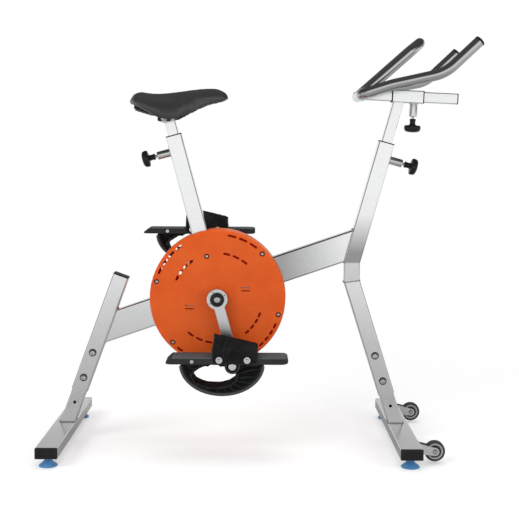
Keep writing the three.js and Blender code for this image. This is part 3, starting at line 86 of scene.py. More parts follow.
@dataclass
class Shape:
    """Points and faces of one or more closed shells, in metres."""

    points: list[Vector]
    faces: list[tuple[int, ...]]

    def moved(self, place: Matrix) -> "Shape":
        """Returns the shape carried by a placing matrix, faces turned if it mirrors."""
        flip = place.determinant() < 0
        faces = [tuple(reversed(f)) for f in self.faces] if flip else list(self.faces)
        return Shape([place @ p for p in self.points], faces)

    def at(self, x: float, y: float, z: float) -> "Shape":
        """Returns the shape shifted by x, y and z."""
        return self.moved(Matrix.Translation((x, y, z)))

    def turned(self, angle: float, axis: str) -> "Shape":
        """Returns the shape turned about an axis through the origin, in degrees."""
        return self.moved(turn(angle, axis))

    def mirrored(self) -> "Shape":
        """Returns the shape mirrored across the bike's middle plane."""
        return self.moved(Matrix.Scale(-1, 4, Y))

    def handed(self, hand: int) -> "Shape":
        """Returns the shape for the left side, or mirrored for the right one."""
        return self if hand > 0 else self.mirrored()

    def fit(self, hand: int, spot: Matrix) -> "Shape":
        """Returns the shape for one side, carried by a placing matrix."""
        return self.handed(hand).moved(spot)


def joined(*shapes: Shape) -> Shape:
    """Puts several shapes into one, each keeping its own shells.

    Args:
        shapes: the shapes to hold together.
    Returns:
        One shape.
    """
    points: list[Vector] = []
    faces: list[tuple[int, ...]] = []
    for shape in shapes:
        start = len(points)
        points += shape.points
        faces += [tuple(start + i for i in f) for f in shape.faces]
    return Shape(points, faces)


def turn(angle: float, axis: str) -> Matrix:
    """Returns a rotation by an angle in degrees about X, Y or Z."""
    return Matrix.Rotation(math.radians(angle), 4, axis)


def place(x: float, y: float, z: float, lean: float = 0.0) -> Matrix:
    """Returns the matrix that leans about Y by degrees and then moves to x, y, z."""
    return Matrix.Translation((x, y, z)) @ turn(lean, "Y")


def sin(angle: float) -> float:
    """Returns the sine of an angle in degrees."""
    return math.sin(math.radians(angle))


def cos(angle: float) -> float:
    """Returns the cosine of an angle in degrees."""
    return math.cos(math.radians(angle))


def tan(angle: float) -> float:
    """Returns the tangent of an angle in degrees."""
    return math.tan(math.radians(angle))


def circle(radius: float, sides: int = 32) -> Ring:
    """Returns the points of a round ring."""
    return [(radius * cos(360 * i / sides), radius * sin(360 * i / sides)) for i in range(sides)]


def rounded(tall: float, wide: float, radius: float, steps: int = 5) -> Ring:
    """Returns the points of a rectangle ring with rounded corners."""
    ring = []
    for corner, (up, side) in enumerate(((1, 1), (-1, 1), (-1, -1), (1, -1))):
        for step in range(steps + 1):
            angle = 90 * (corner + step / steps)
            high = up * (tall / 2 - radius) + radius * cos(angle)
            ring.append((high, side * (wide / 2 - radius) + radius * sin(angle)))
    return ring


def skin(rings: list[list[Vector]], looped: bool = False, capped: bool = True) -> Shape:
    """Skins a row of rings with equally many points.

    Args:
        rings: the rings in order.
        looped: whether the last ring joins the first.
        capped: whether an open row gets a flat end at both ends.
    Returns:
        The skinned shape.
    """
    size, count = len(rings[0]), len(rings)
    faces = []
    for span in range(count if looped else count - 1):
        here, after = span * size, ((span + 1) % count) * size
        for i in range(size):
            j = (i + 1) % size
            faces.append((here + i, after + i, after + j, here + j))
    if not looped and capped:
        faces.append(tuple(range(size)))
        faces.append(tuple(reversed(range((count - 1) * size, count * size))))
    return Shape([p for ring in rings for p in ring], faces)


@dataclass
class Sweep:
    """A flat ring carried along points, mitred at each bend."""

    points: list[Vector]
    up: Vector
    start_cut: Vector | None = None
    end_cut: Vector | None = None
    closed: bool = False

    def rings(self, ring: Ring, scale: Callable[[int], float] = lambda i: 1.0) -> list[list[Vector]]:
        """Returns the ring's copies at every point.

        Args:
            ring: (high, wide) places, high along up.
            scale: the ring's size at each point's index.
        Returns:
            One list of places for each point.
        """
        count = len(self.points)
        spans = count if self.closed else count - 1
        headings = [(self.points[(i + 1) % count] - self.points[i]).normalized() for i in range(spans)]
        lift = self.up.copy()
        rings = []
        for i, point in enumerate(self.points):
            before = headings[(i - 1) % spans] if self.closed else headings[max(i - 1, 0)]
            after = headings[i % spans] if self.closed else headings[min(i, spans - 1)]
            face = (before + after).normalized()
            if i == 0 and self.start_cut:
                face = self.start_cut
            if i == count - 1 and self.end_cut:
                face = self.end_cut
            lift = (lift - before * lift.dot(before)).normalized()
            across = before.cross(lift)
            row = []
            for high, wide in ring:
                at = point + (lift * high + across * wide) * scale(i)
                row.append(at - before * ((at - point).dot(face) / before.dot(face)))
            rings.append(row)
        return rings

    def bar(self, ring: Ring) -> Shape:
        """Returns the solid bar with this section."""
        return skin(self.rings(ring), looped=self.closed)

    def tube(self, outer: Ring, inner: Ring) -> Shape:
        """Returns the open tube between two sections with equally many points."""
        return skin(self.rings(outer) + list(reversed(self.rings(inner))), looped=True)


def revolved(profile: Profile, sides: int = 64) -> Shape:
    """Turns a profile of (radius, height) round Z.

    Args:
        profile: it starts and ends on the axis, or its last point joins its first.
        sides: how many flats make a full turn.
    Returns:
        One closed shell.
    """
    points: list[Vector] = []
    rows: list[list[int]] = []
    for radius, height in profile:
        if radius < ON_AXIS:
            rows.append([len(points)] * sides)
            points.append(Vector((0, 0, height)))
            continue
        rows.append(list(range(len(points), len(points) + sides)))
        points += [Vector((x, y, height)) for x, y in circle(radius, sides)]
    on_axis = profile[0][0] < ON_AXIS and profile[-1][0] < ON_AXIS
    faces = []
    for k in range(len(rows) - 1 if on_axis else len(rows)):
        low, high = rows[k], rows[(k + 1) % len(rows)]
        for i in range(sides):
            j = (i + 1) % sides
            face = [low[i], low[j], high[j], high[i]]
            face = [v for n, v in enumerate(face) if v not in face[:n]]
            if len(face) > 2:
                faces.append(tuple(face))
    return Shape(points, faces)


def rounding(profile: Profile, radius: float, steps: int = 4) -> Ring:
    """Rounds each inner corner of an open profile.

    Args:
        profile: (radius, height) corners.
        radius: the rounding, cut down where a side is short.
        steps: spans on each rounding.
    Returns:
        The profile with its corners rounded.
    """
    done = [profile[0]]
    for i in range(1, len(profile) - 1):
        corner = Vector(profile[i])
        back, ahead = Vector(profile[i - 1]) - corner, Vector(profile[i + 1]) - corner
        reach = min(radius, back.length * SIDE_SHARE, ahead.length * SIDE_SHARE)
        start, end = corner + back.normalized() * reach, corner + ahead.normalized() * reach
        for step in range(steps + 1):
            t = step / steps
            at = start * (1 - t) ** 2 + corner * (2 * t * (1 - t)) + end * t**2
            done.append((at.x, at.y))
    return [*done, profile[-1]]


def rod(radius: float, start: float, end: float, edge: float = 0.0, sides: int = 48) -> Shape:
    """Returns a round bar along Z with eased edges."""
    corners = [(0, start), (radius, start), (radius, end), (0, end)]
    return revolved(rounding(corners, edge) if edge else corners, sides)


def plate(outline: Ring, thick: float) -> Shape:
    """Returns an outline in the XZ plane, given depth to both sides of Y = 0."""
    rings = [[Vector((x, y, z)) for x, z in outline] for y in (-thick / 2, thick / 2)]
    return skin(rings)


def slab(x: float, y: float, z: float) -> Shape:
    """Returns a block centred on the origin, for cutting and as a rough form."""
    return plate([(-x / 2, -z / 2), (x / 2, -z / 2), (x / 2, z / 2), (-x / 2, z / 2)], y)


def arc(cx: float, cz: float, radius: float, start: float, end: float, steps: int = 24) -> Ring:
    """Returns points along an arc, angles in degrees."""
    spans = [start + (end - start) * i / steps for i in range(steps + 1)]
    return [(cx + radius * cos(a), cz + radius * sin(a)) for a in spans]


def bent_path(corners: Sequence[Vector], bends: Sequence[float], steps: int = 14) -> list[Vector]:
    """Rounds the corners of a path with arcs.

    Args:
        corners: the path's ends and corners.
        bends: one radius for each inner corner.
        steps: spans on each arc.
    Returns:
        Points along the path.
    """
    points = [corners[0].copy()]
    for i in range(1, len(corners) - 1):
        corner, radius = corners[i], bends[i - 1]
        back = (corners[i - 1] - corner).normalized()
        ahead = (corners[i + 1] - corner).normalized()
        half = back.angle(ahead) / 2
        centre = corner + (back + ahead).normalized() * (radius / math.sin(half))
        start = (corner + back * (radius / math.tan(half)) - centre).normalized()
        end = (corner + ahead * (radius / math.tan(half)) - centre).normalized()
        points += [centre + start.slerp(end, s / steps) * radius for s in range(steps + 1)]
    return [*points, corners[-1].copy()]


def spaced(points: Sequence[Vector], pitch: float) -> list[Vector]:
    """Adds places along a path so that none lie further apart than the pitch."""
    done = [points[0].copy()]
    for a, b in zip(points, points[1:]):
        parts = max(1, math.ceil((b - a).length / pitch))
        done += [a.lerp(b, (k + 1) / parts) for k in range(parts)]
    return done


def bead(ring: list[Vector], radius: float, ripple: float = 0.0045, swell: float = 0.16) -> Shape:
    """Returns a weld bead laid along a closed ring of places.

    Args:
        ring: places round the joint.
        radius: half the bead's width.
        ripple: spacing of the solidified waves.
        swell: how far each wave stands out, as a share of the radius.
    Returns:
        One closed shell.
    """
    points = spaced([*ring, ring[0]], ripple / 3)[:-1]
    normal = (ring[len(ring) // 3] - ring[0]).cross(ring[2 * len(ring) // 3] - ring[0])
    path = Sweep(points, normal.normalized(), closed=True)
    rings = path.rings(circle(radius, 8), lambda i: 1.0 + swell * math.sin(math.tau * i / 3))
    return skin(rings, looped=True)


def mesh_of(shape: Shape, name: str = "shape") -> bpy.types.Mesh:
    """Returns a mesh with merged points and faces pointing out."""
    mesh = bpy.data.meshes.new(name)
    mesh.from_pydata([tuple(p) for p in shape.points], [], shape.faces)
    form = bmesh.new()
    form.from_mesh(mesh)
    bmesh.ops.remove_doubles(form, verts=form.verts, dist=SAME_PLACE)
    bmesh.ops.recalc_face_normals(form, faces=form.faces)
    form.to_mesh(mesh)
    form.free()
    return mesh


def shape_of(mesh: bpy.types.Mesh) -> Shape:
    """Returns a mesh's points and faces as a shape."""
    return Shape([v.co.copy() for v in mesh.vertices], [tuple(p.vertices) for p in mesh.polygons])


def linked(name: str, data: bpy.types.ID) -> bpy.types.Object:
    """Returns a new object in the scene that holds a mesh, a lamp or a camera."""
    made = bpy.data.objects.new(name, data)
    bpy.context.scene.collection.objects.link(made)
    return made


def workpiece(name: str, shape: Shape) -> bpy.types.Object:
    """Returns a scene object that holds the shape."""
    return linked(name, mesh_of(shape, name))


def settle(piece: bpy.types.Object) -> None:
    """Turns an object's modifiers into plain mesh."""
    bpy.context.view_layer.update()
    result = piece.evaluated_get(bpy.context.evaluated_depsgraph_get())
    old, piece.data = piece.data, bpy.data.meshes.new_from_object(result)
    piece.modifiers.clear()
    piece.data.name = piece.name
    bpy.data.meshes.remove(old)


def take(piece: bpy.types.Object) -> Shape:
    """Settles a working object, removes it and returns its shape."""
    settle(piece)
    shape = shape_of(piece.data)
    bpy.data.objects.remove(piece)
    return shape


def carved(body: Shape, *tools: Shape) -> Shape:
    """Cuts tools out of a body, one after the other."""
    piece = workpiece("carved", body)
    cutters = [workpiece("tool", tool) for tool in tools]
    for cutter in cutters:
        cut = piece.modifiers.new("cut", "BOOLEAN")
        cut.operation, cut.solver, cut.object = "DIFFERENCE", "EXACT", cutter
    shape = take(piece)
    for cutter in cutters:
        bpy.data.objects.remove(cutter)
    return shape


def eased(body: Shape, width: float, steps: int = 2, angle: float = 40.0) -> Shape:
    """Rounds a body's sharp edges."""
    piece = workpiece("eased", body)
    edge = piece.modifiers.new("edge", "BEVEL")
    edge.width, edge.segments = width, steps
    edge.limit_method, edge.angle_limit = "ANGLE", math.radians(angle)
    edge.use_clamp_overlap = True
    return take(piece)


def relaxed(piece: bpy.types.Object, held: Held, pressure: float, cap: float) -> None:
    """Lets a piece settle as cloth under pressure, with no gravity.

    Args:
        piece: the object.
        held: tells which points are sewn or seated and stay.
        pressure: the push from inside.
        cap: how far a point may move.
    """
    start = [v.co.copy() for v in piece.data.vertices]
    sewn = piece.vertex_groups.new(name="sewn")
    sewn.add([i for i, at in enumerate(start) if held(at)], 1.0, "REPLACE")
    cloth = piece.modifiers.new("cloth", "CLOTH")
    cloth.settings.vertex_group_mass = "sewn"
    cloth.settings.use_pressure = True
    cloth.settings.uniform_pressure_force = pressure
    cloth.settings.effector_weights.gravity = 0
    cloth.point_cache.frame_start, cloth.point_cache.frame_end = 1, CLOTH_FRAMES
    for step in range(1, CLOTH_FRAMES + 1):
        bpy.context.scene.frame_set(step)
    settle(piece)
    for vertex, at in zip(piece.data.vertices, start):
        way = vertex.co - at
        vertex.co = at + way * min(1.0, cap / max(way.length, 1e-9))
    bpy.context.scene.frame_set(1)


def refined(piece: bpy.types.Object) -> Shape:
    """Subdivides a working object once, removes it and returns its shape."""
    fine = piece.modifiers.new("fine", "SUBSURF")
    fine.levels = fine.render_levels = 1
    return take(piece)


def puffed(body: Shape, voxel: float, cap: float, held: Held, pressure: float = 4.0) -> Shape:
    """Swells a padded form with simulated cloth.

    Args:
        body: the form, slightly smaller than its space.
        voxel: the cell that the form is remeshed with.
        cap: how far a point may move.
        held: tells which points are sewn or seated and stay.
        pressure: the filling's pressure.
    Returns:
        The settled form, subdivided once.
    """
    piece = workpiece("pad", body)
    cells = piece.modifiers.new("cells", "REMESH")
    cells.mode, cells.voxel_size = "VOXEL", voxel
    settle(piece)
    relaxed(piece, held, pressure, cap)
    return refined(piece)


def quilted(sheet: Shape, thick: float) -> Shape:
    """Returns an open sheet with a padded thickness towards its inside, subdivided once."""
    piece = workpiece("quilt", sheet)
    wall = piece.modifiers.new("wall", "SOLIDIFY")
    wall.thickness, wall.offset = thick, -1.0
    return refined(piece)


def draped(sheet: Shape, cap: float, held: Held, pressure: float) -> Shape:
    """Returns an open sheet after it has settled as cloth."""
    piece = workpiece("sheet", sheet)
    relaxed(piece, held, pressure, cap)
    return take(piece)


def pressed(body: Shape, depth: Callable[[Vector, Vector], float]) -> Shape:
    """Moves each point along its normal.

    Args:
        body: the form.
        depth: gives the move from a point and its normal, inwards below zero.
    Returns:
        The changed form.
    """
    mesh = mesh_of(body, "pressed")
    points = [v.co + v.normal * depth(v.co, v.normal) for v in mesh.vertices]
    shape = Shape(points, [tuple(p.vertices) for p in mesh.polygons])
    bpy.data.meshes.remove(mesh)
    return shape


def fitted(body: Shape, clear: Callable[[Vector], Vector]) -> Shape:
    """Moves each point to where a rule puts it, so that the form clears its neighbours."""
    return Shape([clear(p.copy()) for p in body.points], body.faces)


def ramp(value: float, low: float, high: float) -> float:
    """Returns 0 below low, 1 above high and a smooth rise between."""
    share = min(1.0, max(0.0, (value - low) / (high - low)))
    return share * share * (3 - 2 * share)


# Shader groups


class Kind(Enum):
    """Socket kinds that the shader and geometry groups use."""

    VALUE = "NodeSocketFloat"
    VECTOR = "NodeSocketVector"
    COLOUR = "NodeSocketColor"
    MATERIAL = "NodeSocketMaterial"
    OBJECT = "NodeSocketObject"
    GEOMETRY = "NodeSocketGeometry"


class Board:
    """A node tree with short calls for adding and wiring nodes."""

    def __init__(self, tree: bpy.types.NodeTree) -> None:
        """Keeps the tree and starts it empty."""
        self.tree = tree
        tree.nodes.clear()

    def fill(self, node: bpy.types.Node, **inputs: object) -> None:
        """Fills a node's inputs.

        Args:
            node: the node.
            inputs: values or sockets by input name, with _ for a space, or n0, n1 by place.
        """
        for key, value in inputs.items():
            by_place = key[0] == "n" and key[1:].isdigit()
            slot = node.inputs[int(key[1:])] if by_place else node.inputs[key.replace("_", " ")]
            if isinstance(value, Socket):
                self.tree.links.new(value, slot)
            else:
                slot.default_value = value

    def add(self, kind: str, settings: dict | None = None, **inputs: object) -> bpy.types.Node:
        """Adds a node.

        Args:
            kind: Blender's node type.
            settings: properties of the node itself.
            inputs: what its inputs are filled with.
        Returns:
            The node.
        """
        node = self.tree.nodes.new(kind)
        for key, value in (settings or {}).items():
            setattr(node, key, value)
        self.fill(node, **inputs)
        return node

    def sum(self, operation: str, *values: object) -> Socket:
        """Adds a Math node and returns its result."""
        inputs = {f"n{i}": v for i, v in enumerate(values)}
        return self.add("ShaderNodeMath", {"operation": operation}, **inputs).outputs[0]

    def span(self, value: object, low: float, high: float, to_low: float, to_high: float) -> Socket:
        """Adds a Map Range node and returns its result."""
        ends = {"From_Min": low, "From_Max": high, "To_Min": to_low, "To_Max": to_high}
        return self.add("ShaderNodeMapRange", {}, Value=value, **ends).outputs[0]

    def mix(self, share: object, a: object, b: object) -> Socket:
        """Adds a colour mix and returns its result."""
        return self.add("ShaderNodeMix", {"data_type": "RGBA"}, n0=share, n6=a, n7=b).outputs[2]

    def noise(self, where: Socket, scale: object, detail: float, **more: float) -> Socket:
        """Adds a noise texture and returns its value."""
        return self.add("ShaderNodeTexNoise", {}, Vector=where, Scale=scale, Detail=detail, **more).outputs[0]

    def vector(self, operation: str, *values: object) -> Sequence[Socket]:
        """Adds a Vector Math node and returns its outputs."""
        inputs = {f"n{i}": v for i, v in enumerate(values)}
        return self.add("ShaderNodeVectorMath", {"operation": operation}, **inputs).outputs

    def object_place(self) -> Socket:
        """Adds the place on the piece, in its own frame."""
        return self.add("ShaderNodeTexCoord").outputs["Object"]

    def pointiness(self) -> Socket:
        """Adds the sharpness of the surface at a place."""
        return self.add("ShaderNodeNewGeometry").outputs["Pointiness"]

    def group(self, build: Callable[[], bpy.types.NodeTree], **inputs: object) -> Sequence[Socket]:
        """Adds a node for a shared group and returns its outputs."""
        return self.add("ShaderNodeGroup", {"node_tree": build()}, **inputs).outputs

    def seen(self) -> tuple[Sequence[Socket], Socket]:
        """Adds the light path and tells whether the camera sees a place, straight or through glass."""
        path = self.add("ShaderNodeLightPath").outputs
        rays = self.sum("ADD", path["Is Camera Ray"], path["Is Transmission Ray"])
        return path, self.sum("MINIMUM", rays, 1.0)


def open_group(
    name: str, kind: str, takes: dict[str, tuple[Kind, object]], gives: dict[str, Kind]
) -> tuple[Board, dict[str, Socket], bpy.types.Node]:
    """Starts a node group with named sockets.

    Args:
        name: the group's name.
        kind: ShaderNodeTree or GeometryNodeTree.
        takes: input name to its kind and default.
        gives: output name to its kind.
    Returns:
        The board, the input sockets by name, and the output node.
    """
    tree = bpy.data.node_groups.new(name, kind)
    board = Board(tree)
    for label, (socket, default) in takes.items():
        made = tree.interface.new_socket(label, in_out="INPUT", socket_type=socket.value)
        if default is not None:
            made.default_value = default
    for label, socket in gives.items():
        tree.interface.new_socket(label, in_out="OUTPUT", socket_type=socket.value)
    entry = board.add("NodeGroupInput")
    return board, {k: entry.outputs[k] for k in takes}, board.add("NodeGroupOutput")


@cache
def brushed_group() -> bpy.types.NodeTree:
    """Returns the group for metal brushed along X: streaks in colour, gloss and height."""
    board, take_in, give = open_group(
        "BrushedMetal",
        "ShaderNodeTree",
        {
            "Place": (Kind.VECTOR, None),
            "Metal": (Kind.COLOUR, (0.8, 0.8, 0.8, 1)),
            "Shade": (Kind.COLOUR, (0.6, 0.6, 0.6, 1)),
            "Gloss": (Kind.VALUE, 0.3),
            "Streak": (Kind.VALUE, 0.1),
        },
        {"Color": Kind.COLOUR, "Roughness": Kind.VALUE, "Height": Kind.VALUE},
    )
    where = take_in["Place"]
    stretch = board.vector("MULTIPLY", where, (6.0, 520.0, 520.0))[0]
    streak, cloud = board.noise(stretch, 1.0, 3.0), board.noise(where, 9.0, 2.0, Roughness=0.4)
    clouded = board.span(cloud, 0.35, 0.7, 0, 0.4)
    share = board.sum("MULTIPLY_ADD", board.span(streak, 0.3, 0.7, 0, 1), 0.35, clouded)
    uneven = board.span(streak, 0.3, 0.7, -0.5, 0.5)
    rough = board.sum("MULTIPLY_ADD", uneven, take_in["Streak"], take_in["Gloss"])
    board.fill(
        give, Color=board.mix(share, take_in["Metal"], take_in["Shade"]),
        Roughness=board.sum("MULTIPLY_ADD", cloud, 0.06, rough), Height=streak,
    )
    return board.tree


@cache
def moulded_group() -> bpy.types.NodeTree:
    """Returns the group for moulded plastic and rubber: mottle, fine grain and dulled patches."""
    board, take_in, give = open_group(
        "MouldedSurface",
        "ShaderNodeTree",
        {
            "Place": (Kind.VECTOR, None),
            "Colour": (Kind.COLOUR, (0.5, 0.5, 0.5, 1)),
            "Deep": (Kind.COLOUR, (0.4, 0.4, 0.4, 1)),
            "Gloss": (Kind.VALUE, 0.45),
            "Grain": (Kind.VALUE, 1400.0),
        },
        {"Color": Kind.COLOUR, "Roughness": Kind.VALUE, "Height": Kind.VALUE},
    )
    where, grains = take_in["Place"], take_in["Grain"]
    cloud, grain = board.noise(where, 14.0, 4.0), board.noise(where, grains, 2.0)
    pits = board.add("ShaderNodeTexVoronoi", {"feature": "F1"}, Vector=where, Scale=grains).outputs[0]
    dulled = board.span(cloud, 0.3, 0.75, -0.06, 0.1)
    board.fill(
        give, Color=board.mix(board.span(cloud, 0.35, 0.7, 0, 1), take_in["Colour"], take_in["Deep"]),
        Roughness=board.sum("ADD", dulled, take_in["Gloss"]),
        Height=board.sum("MULTIPLY_ADD", pits, 0.6, grain),
    )
    return board.tree


@cache
def wear_group() -> bpy.types.NodeTree:
    """Returns the group that lightens rubbed edges and leaves a faint film in broad patches."""
    board, take_in, give = open_group(
        "EdgeWear",
        "ShaderNodeTree",
        {
            "Place": (Kind.VECTOR, None),
            "Pointiness": (Kind.VALUE, 0.5),
            "Base": (Kind.COLOUR, (0.5, 0.5, 0.5, 1)),
            "Rubbed": (Kind.COLOUR, (0.8, 0.8, 0.8, 1)),
            "Amount": (Kind.VALUE, 0.3),
        },
        {"Color": Kind.COLOUR, "Mask": Kind.VALUE},
    )
    edge = board.span(take_in["Pointiness"], *WEAR_AND_HIGHLIGHT_EDGE, 0, 1)
    broken = board.span(board.noise(take_in["Place"], 120.0, 3.0), 0.35, 0.65, 0.2, 1.0)
    film = board.span(board.noise(take_in["Place"], 4.0, 5.0), 0.5, 0.8, 0, 1)
    mask = board.sum("MULTIPLY_ADD", film, 0.25, board.sum("MULTIPLY", edge, broken))
    mask = board.sum("MULTIPLY", mask, take_in["Amount"])
    board.fill(give, Color=board.mix(mask, take_in["Base"], take_in["Rubbed"]), Mask=mask)
    return board.tree


@cache
def weave_group() -> bpy.types.NodeTree:
    """Returns the group for a plain weave: threads over and under on every side of a piece."""
    board, take_in, give = open_group(
        "PlainWeave",
        "ShaderNodeTree",
        {
            "Place": (Kind.VECTOR, None),
            "Threads": (Kind.VALUE, 1700.0),
            "Colour": (Kind.COLOUR, (0.03, 0.03, 0.03, 1)),
            "Deep": (Kind.COLOUR, (0.01, 0.01, 0.01, 1)),
        },
        {"Color": Kind.COLOUR, "Height": Kind.VALUE},
    )

    def thread(across: Triple) -> Socket:
        """Returns a wave whose crests lie across a direction."""
        along = board.vector("DOT_PRODUCT", take_in["Place"], across)["Value"]
        phase = board.sum("MULTIPLY", along, take_in["Threads"])
        return board.sum("SINE", board.sum("MULTIPLY", phase, math.pi))

    over = board.sum("MULTIPLY", thread((1.0, 0.37, 0.0)), thread((0.0, 0.61, 1.0)))
    height = board.span(over, -1, 1, 0, 1)
    board.fill(give, Color=board.mix(height, take_in["Deep"], take_in["Colour"]), Height=height)
    return board.tree


# Finishes


def rgba(colour: Triple, times: float = 1.0) -> tuple[float, float, float, float]:
    """Returns a colour with full opacity, made lighter by a factor."""
    return (*(c * times for c in colour), 1.0)


@dataclass(frozen=True)
class Finish:
    """What every finish has: a name and the slot it belongs to."""

    name: str
    slot: str

    def material(self) -> bpy.types.Material:
        """Returns the finish's material, built on first use."""
        found = bpy.data.materials.get(self.name)
        if found:
            return found
        made = bpy.data.materials.new(self.name)
        made.use_nodes = True
        board = Board(made.node_tree)
        shader = board.add("ShaderNodeBsdfPrincipled")
        out = board.add("ShaderNodeOutputMaterial")
        board.fill(out, Surface=shader.outputs[0])
        self.dress(board, shader)
        return made

    def dress(self, board: Board, shader: bpy.types.Node) -> None:
        """Wires the shader; each kind of finish does this its own way."""
        raise NotImplementedError

    def bump(
        self, board: Board, shader: bpy.types.Node, height: Socket, strength: float, depth: float
    ) -> None:
        """Feeds a height to the shader's normal."""
        node = board.add("ShaderNodeBump", {}, Height=height, Strength=strength, Distance=depth)
        board.fill(shader, Normal=node.outputs[0])

    def worn(self, board: Board, where: Socket, base: Socket, rubbed: Triple, amount: float) -> Socket:
        """Returns a colour with its edges rubbed and a faint film in broad patches."""
        inputs = {"Pointiness": board.pointiness(), "Base": base, "Rubbed": rgba(rubbed), "Amount": amount}
        return board.group(wear_group, Place=where, **inputs)["Color"]


@dataclass(frozen=True)
class PaintedShade:
    """Painted shade: a darkening of a piece's colour along a direction, from one place to another."""

    way: Triple
    start: float
    end: float
    at_start: float
    at_end: float

    def level(self, board: Board, where: Socket) -> Socket:
        """Returns how much of its colour the piece keeps at a place, under the painted shade."""
        along = board.vector("DOT_PRODUCT", where, self.way)["Value"]
        return board.span(along, self.start, self.end, self.at_start, self.at_end)


@dataclass(frozen=True)
class Metal(Finish):
    """Stainless steel brushed along one direction of the piece."""

    metal: Triple = (0.86, 0.865, 0.87)
    shade: Triple = (0.845, 0.85, 0.855)
    gloss: float = 0.17
    streak: float = 0.03
    grain: Triple = (0.0, 0.0, 0.0)
    depth: float = 0.000002
    # How far the colour darkens to near black where a face turns from the view: a painted dark reflection at
    # the outline
    rim: float = 0.6
    # Painted shade along the piece: each one darkens the colour towards black between two places
    painted_shades: tuple[PaintedShade, ...] = ()

    def dress(self, board: Board, shader: bpy.types.Node) -> None:
        """Wires brushed streaks, edge wear, painted shade along a tube, a painted dark reflection at the
        outline and a very shallow grain.
        """
        where = board.object_place()
        angles = tuple(math.radians(a) for a in self.grain)
        turned = board.add("ShaderNodeMapping", {}, Vector=where, Rotation=angles).outputs[0]
        brushed = board.group(
            brushed_group, Place=turned, Metal=rgba(self.metal), Shade=rgba(self.shade),
            Gloss=self.gloss, Streak=self.streak,
        )
        rubbed = tuple(min(1.0, c * 1.12) for c in self.metal)
        colour = self.worn(board, where, brushed["Color"], rubbed, 0.35)
        # Painted shade: the colour is darkened towards black along the piece
        if self.painted_shades:
            tone, *others = (fade.level(board, where) for fade in self.painted_shades)
            for level in others:
                tone = board.sum("MAXIMUM", tone, level)
            colour = board.mix(tone, (0, 0, 0, 1), colour)
        # Painted dark reflection: the colour turns near black where the face turns away from the view
        facing = board.add("ShaderNodeLayerWeight", {}, Blend=0.5).outputs["Facing"]
        edge = board.span(facing, 0.84, 0.99, 0.0, self.rim)
        board.fill(
            shader, Base_Color=board.mix(edge, colour, (0.05, 0.05, 0.052, 1)),
            Roughness=brushed["Roughness"], Metallic=1.0,
        )
        self.bump(board, shader, brushed["Height"], 0.35, self.depth)


@dataclass(frozen=True)
class Moulded(Finish):
    """Moulded plastic or rubber with a fine grain."""

    colour: Triple = (0.5, 0.5, 0.5)
    deep: Triple = (0.4, 0.4, 0.4)
    rubbed: Triple = (0.6, 0.6, 0.6)
    gloss: float = 0.45
    grain: float = 1400.0
    depth: float = 0.00004
    wear: float = 0.3
    specular: float = 0.5
    soft: float = 0.0
    reach: float = 0.004
    spread: Triple = (1.0, 0.6, 0.4)

    def dress(self, board: Board, shader: bpy.types.Node) -> None:
        """Wires mottle, grain and rubbed edges, and light that spreads inside a soft plastic."""
        where = board.object_place()
        surface = board.group(
            moulded_group, Place=where, Colour=rgba(self.colour), Deep=rgba(self.deep),
            Gloss=self.gloss, Grain=self.grain,
        )
        colour = self.worn(board, where, surface["Color"], self.rubbed, self.wear)
        board.fill(
            shader, Base_Color=colour, Roughness=surface["Roughness"], Specular_IOR_Level=self.specular
        )
        if self.soft:
            inner = {"Subsurface_Scale": self.reach, "Subsurface_Radius": self.spread}
            board.fill(shader, Subsurface_Weight=self.soft, **inner)
        self.bump(board, shader, surface["Height"], 0.5, self.depth)


@dataclass(frozen=True)
class Fabric(Finish):
    """Woven coated fabric with faint creases."""

    colour: Triple = (0.03, 0.03, 0.033)
    deep: Triple = (0.012, 0.012, 0.013)
    threads: float = 1700.0
    gloss: float = 0.72
    depth: float = 0.00012
    sheen: float = 0.06
    specular: float = 0.18
    faded: float = 2.2
    # How much lighter the crests of folds are: rubbed cloth, and partly a painted highlight
    crest: float = 4.2

    def dress(self, board: Board, shader: bpy.types.Node) -> None:
        """Wires the weave, faint creases, crests of folds lightened as rubbed cloth and as a painted
        highlight, and a soft sheen.
        """
        where = board.object_place()
        weave = board.group(
            weave_group, Place=where, Threads=self.threads, Colour=rgba(self.colour), Deep=rgba(self.deep)
        )
        crease = board.noise(where, 32.0, 5.0, Distortion=0.6)
        used = board.span(crease, 0.35, 0.75, 0.0, 0.5)
        colour = board.mix(used, weave["Color"], rgba(self.colour, self.faded))
        # Crests of folds are lightened: rubbing, and partly a painted highlight
        raised = board.span(board.pointiness(), *WEAR_AND_HIGHLIGHT_EDGE, 0.0, 0.8)
        board.fill(
            shader, Base_Color=board.mix(raised, colour, rgba(self.colour, self.crest)),
            Roughness=board.span(crease, 0.3, 0.7, self.gloss - 0.08, self.gloss + 0.08),
            Specular_IOR_Level=self.specular, Sheen_Weight=self.sheen, Sheen_Roughness=0.4,
        )
        height = board.sum("MULTIPLY_ADD", crease, 4.0, weave["Height"])
        self.bump(board, shader, height, 0.6, self.depth)


def steel(name: str, grain: Triple) -> Metal:
    """Returns the satin stainless finish with its grain turned along a tube."""
    return Metal(name, "stainless_tube", grain=grain)


SATIN_Y = steel("satin_steel_across", (0.0, 0.0, 90.0))
ORANGE = Moulded(
    "orange_housing", "orange_plastic", colour=(0.87, 0.118, 0.011), deep=(0.79, 0.098, 0.008),
    rubbed=(0.88, 0.20, 0.05), gloss=0.42, grain=900.0, depth=0.00003, wear=0.2, specular=0.25,
    soft=0.5, reach=0.012, spread=(1.0, 0.2, 0.06),
)
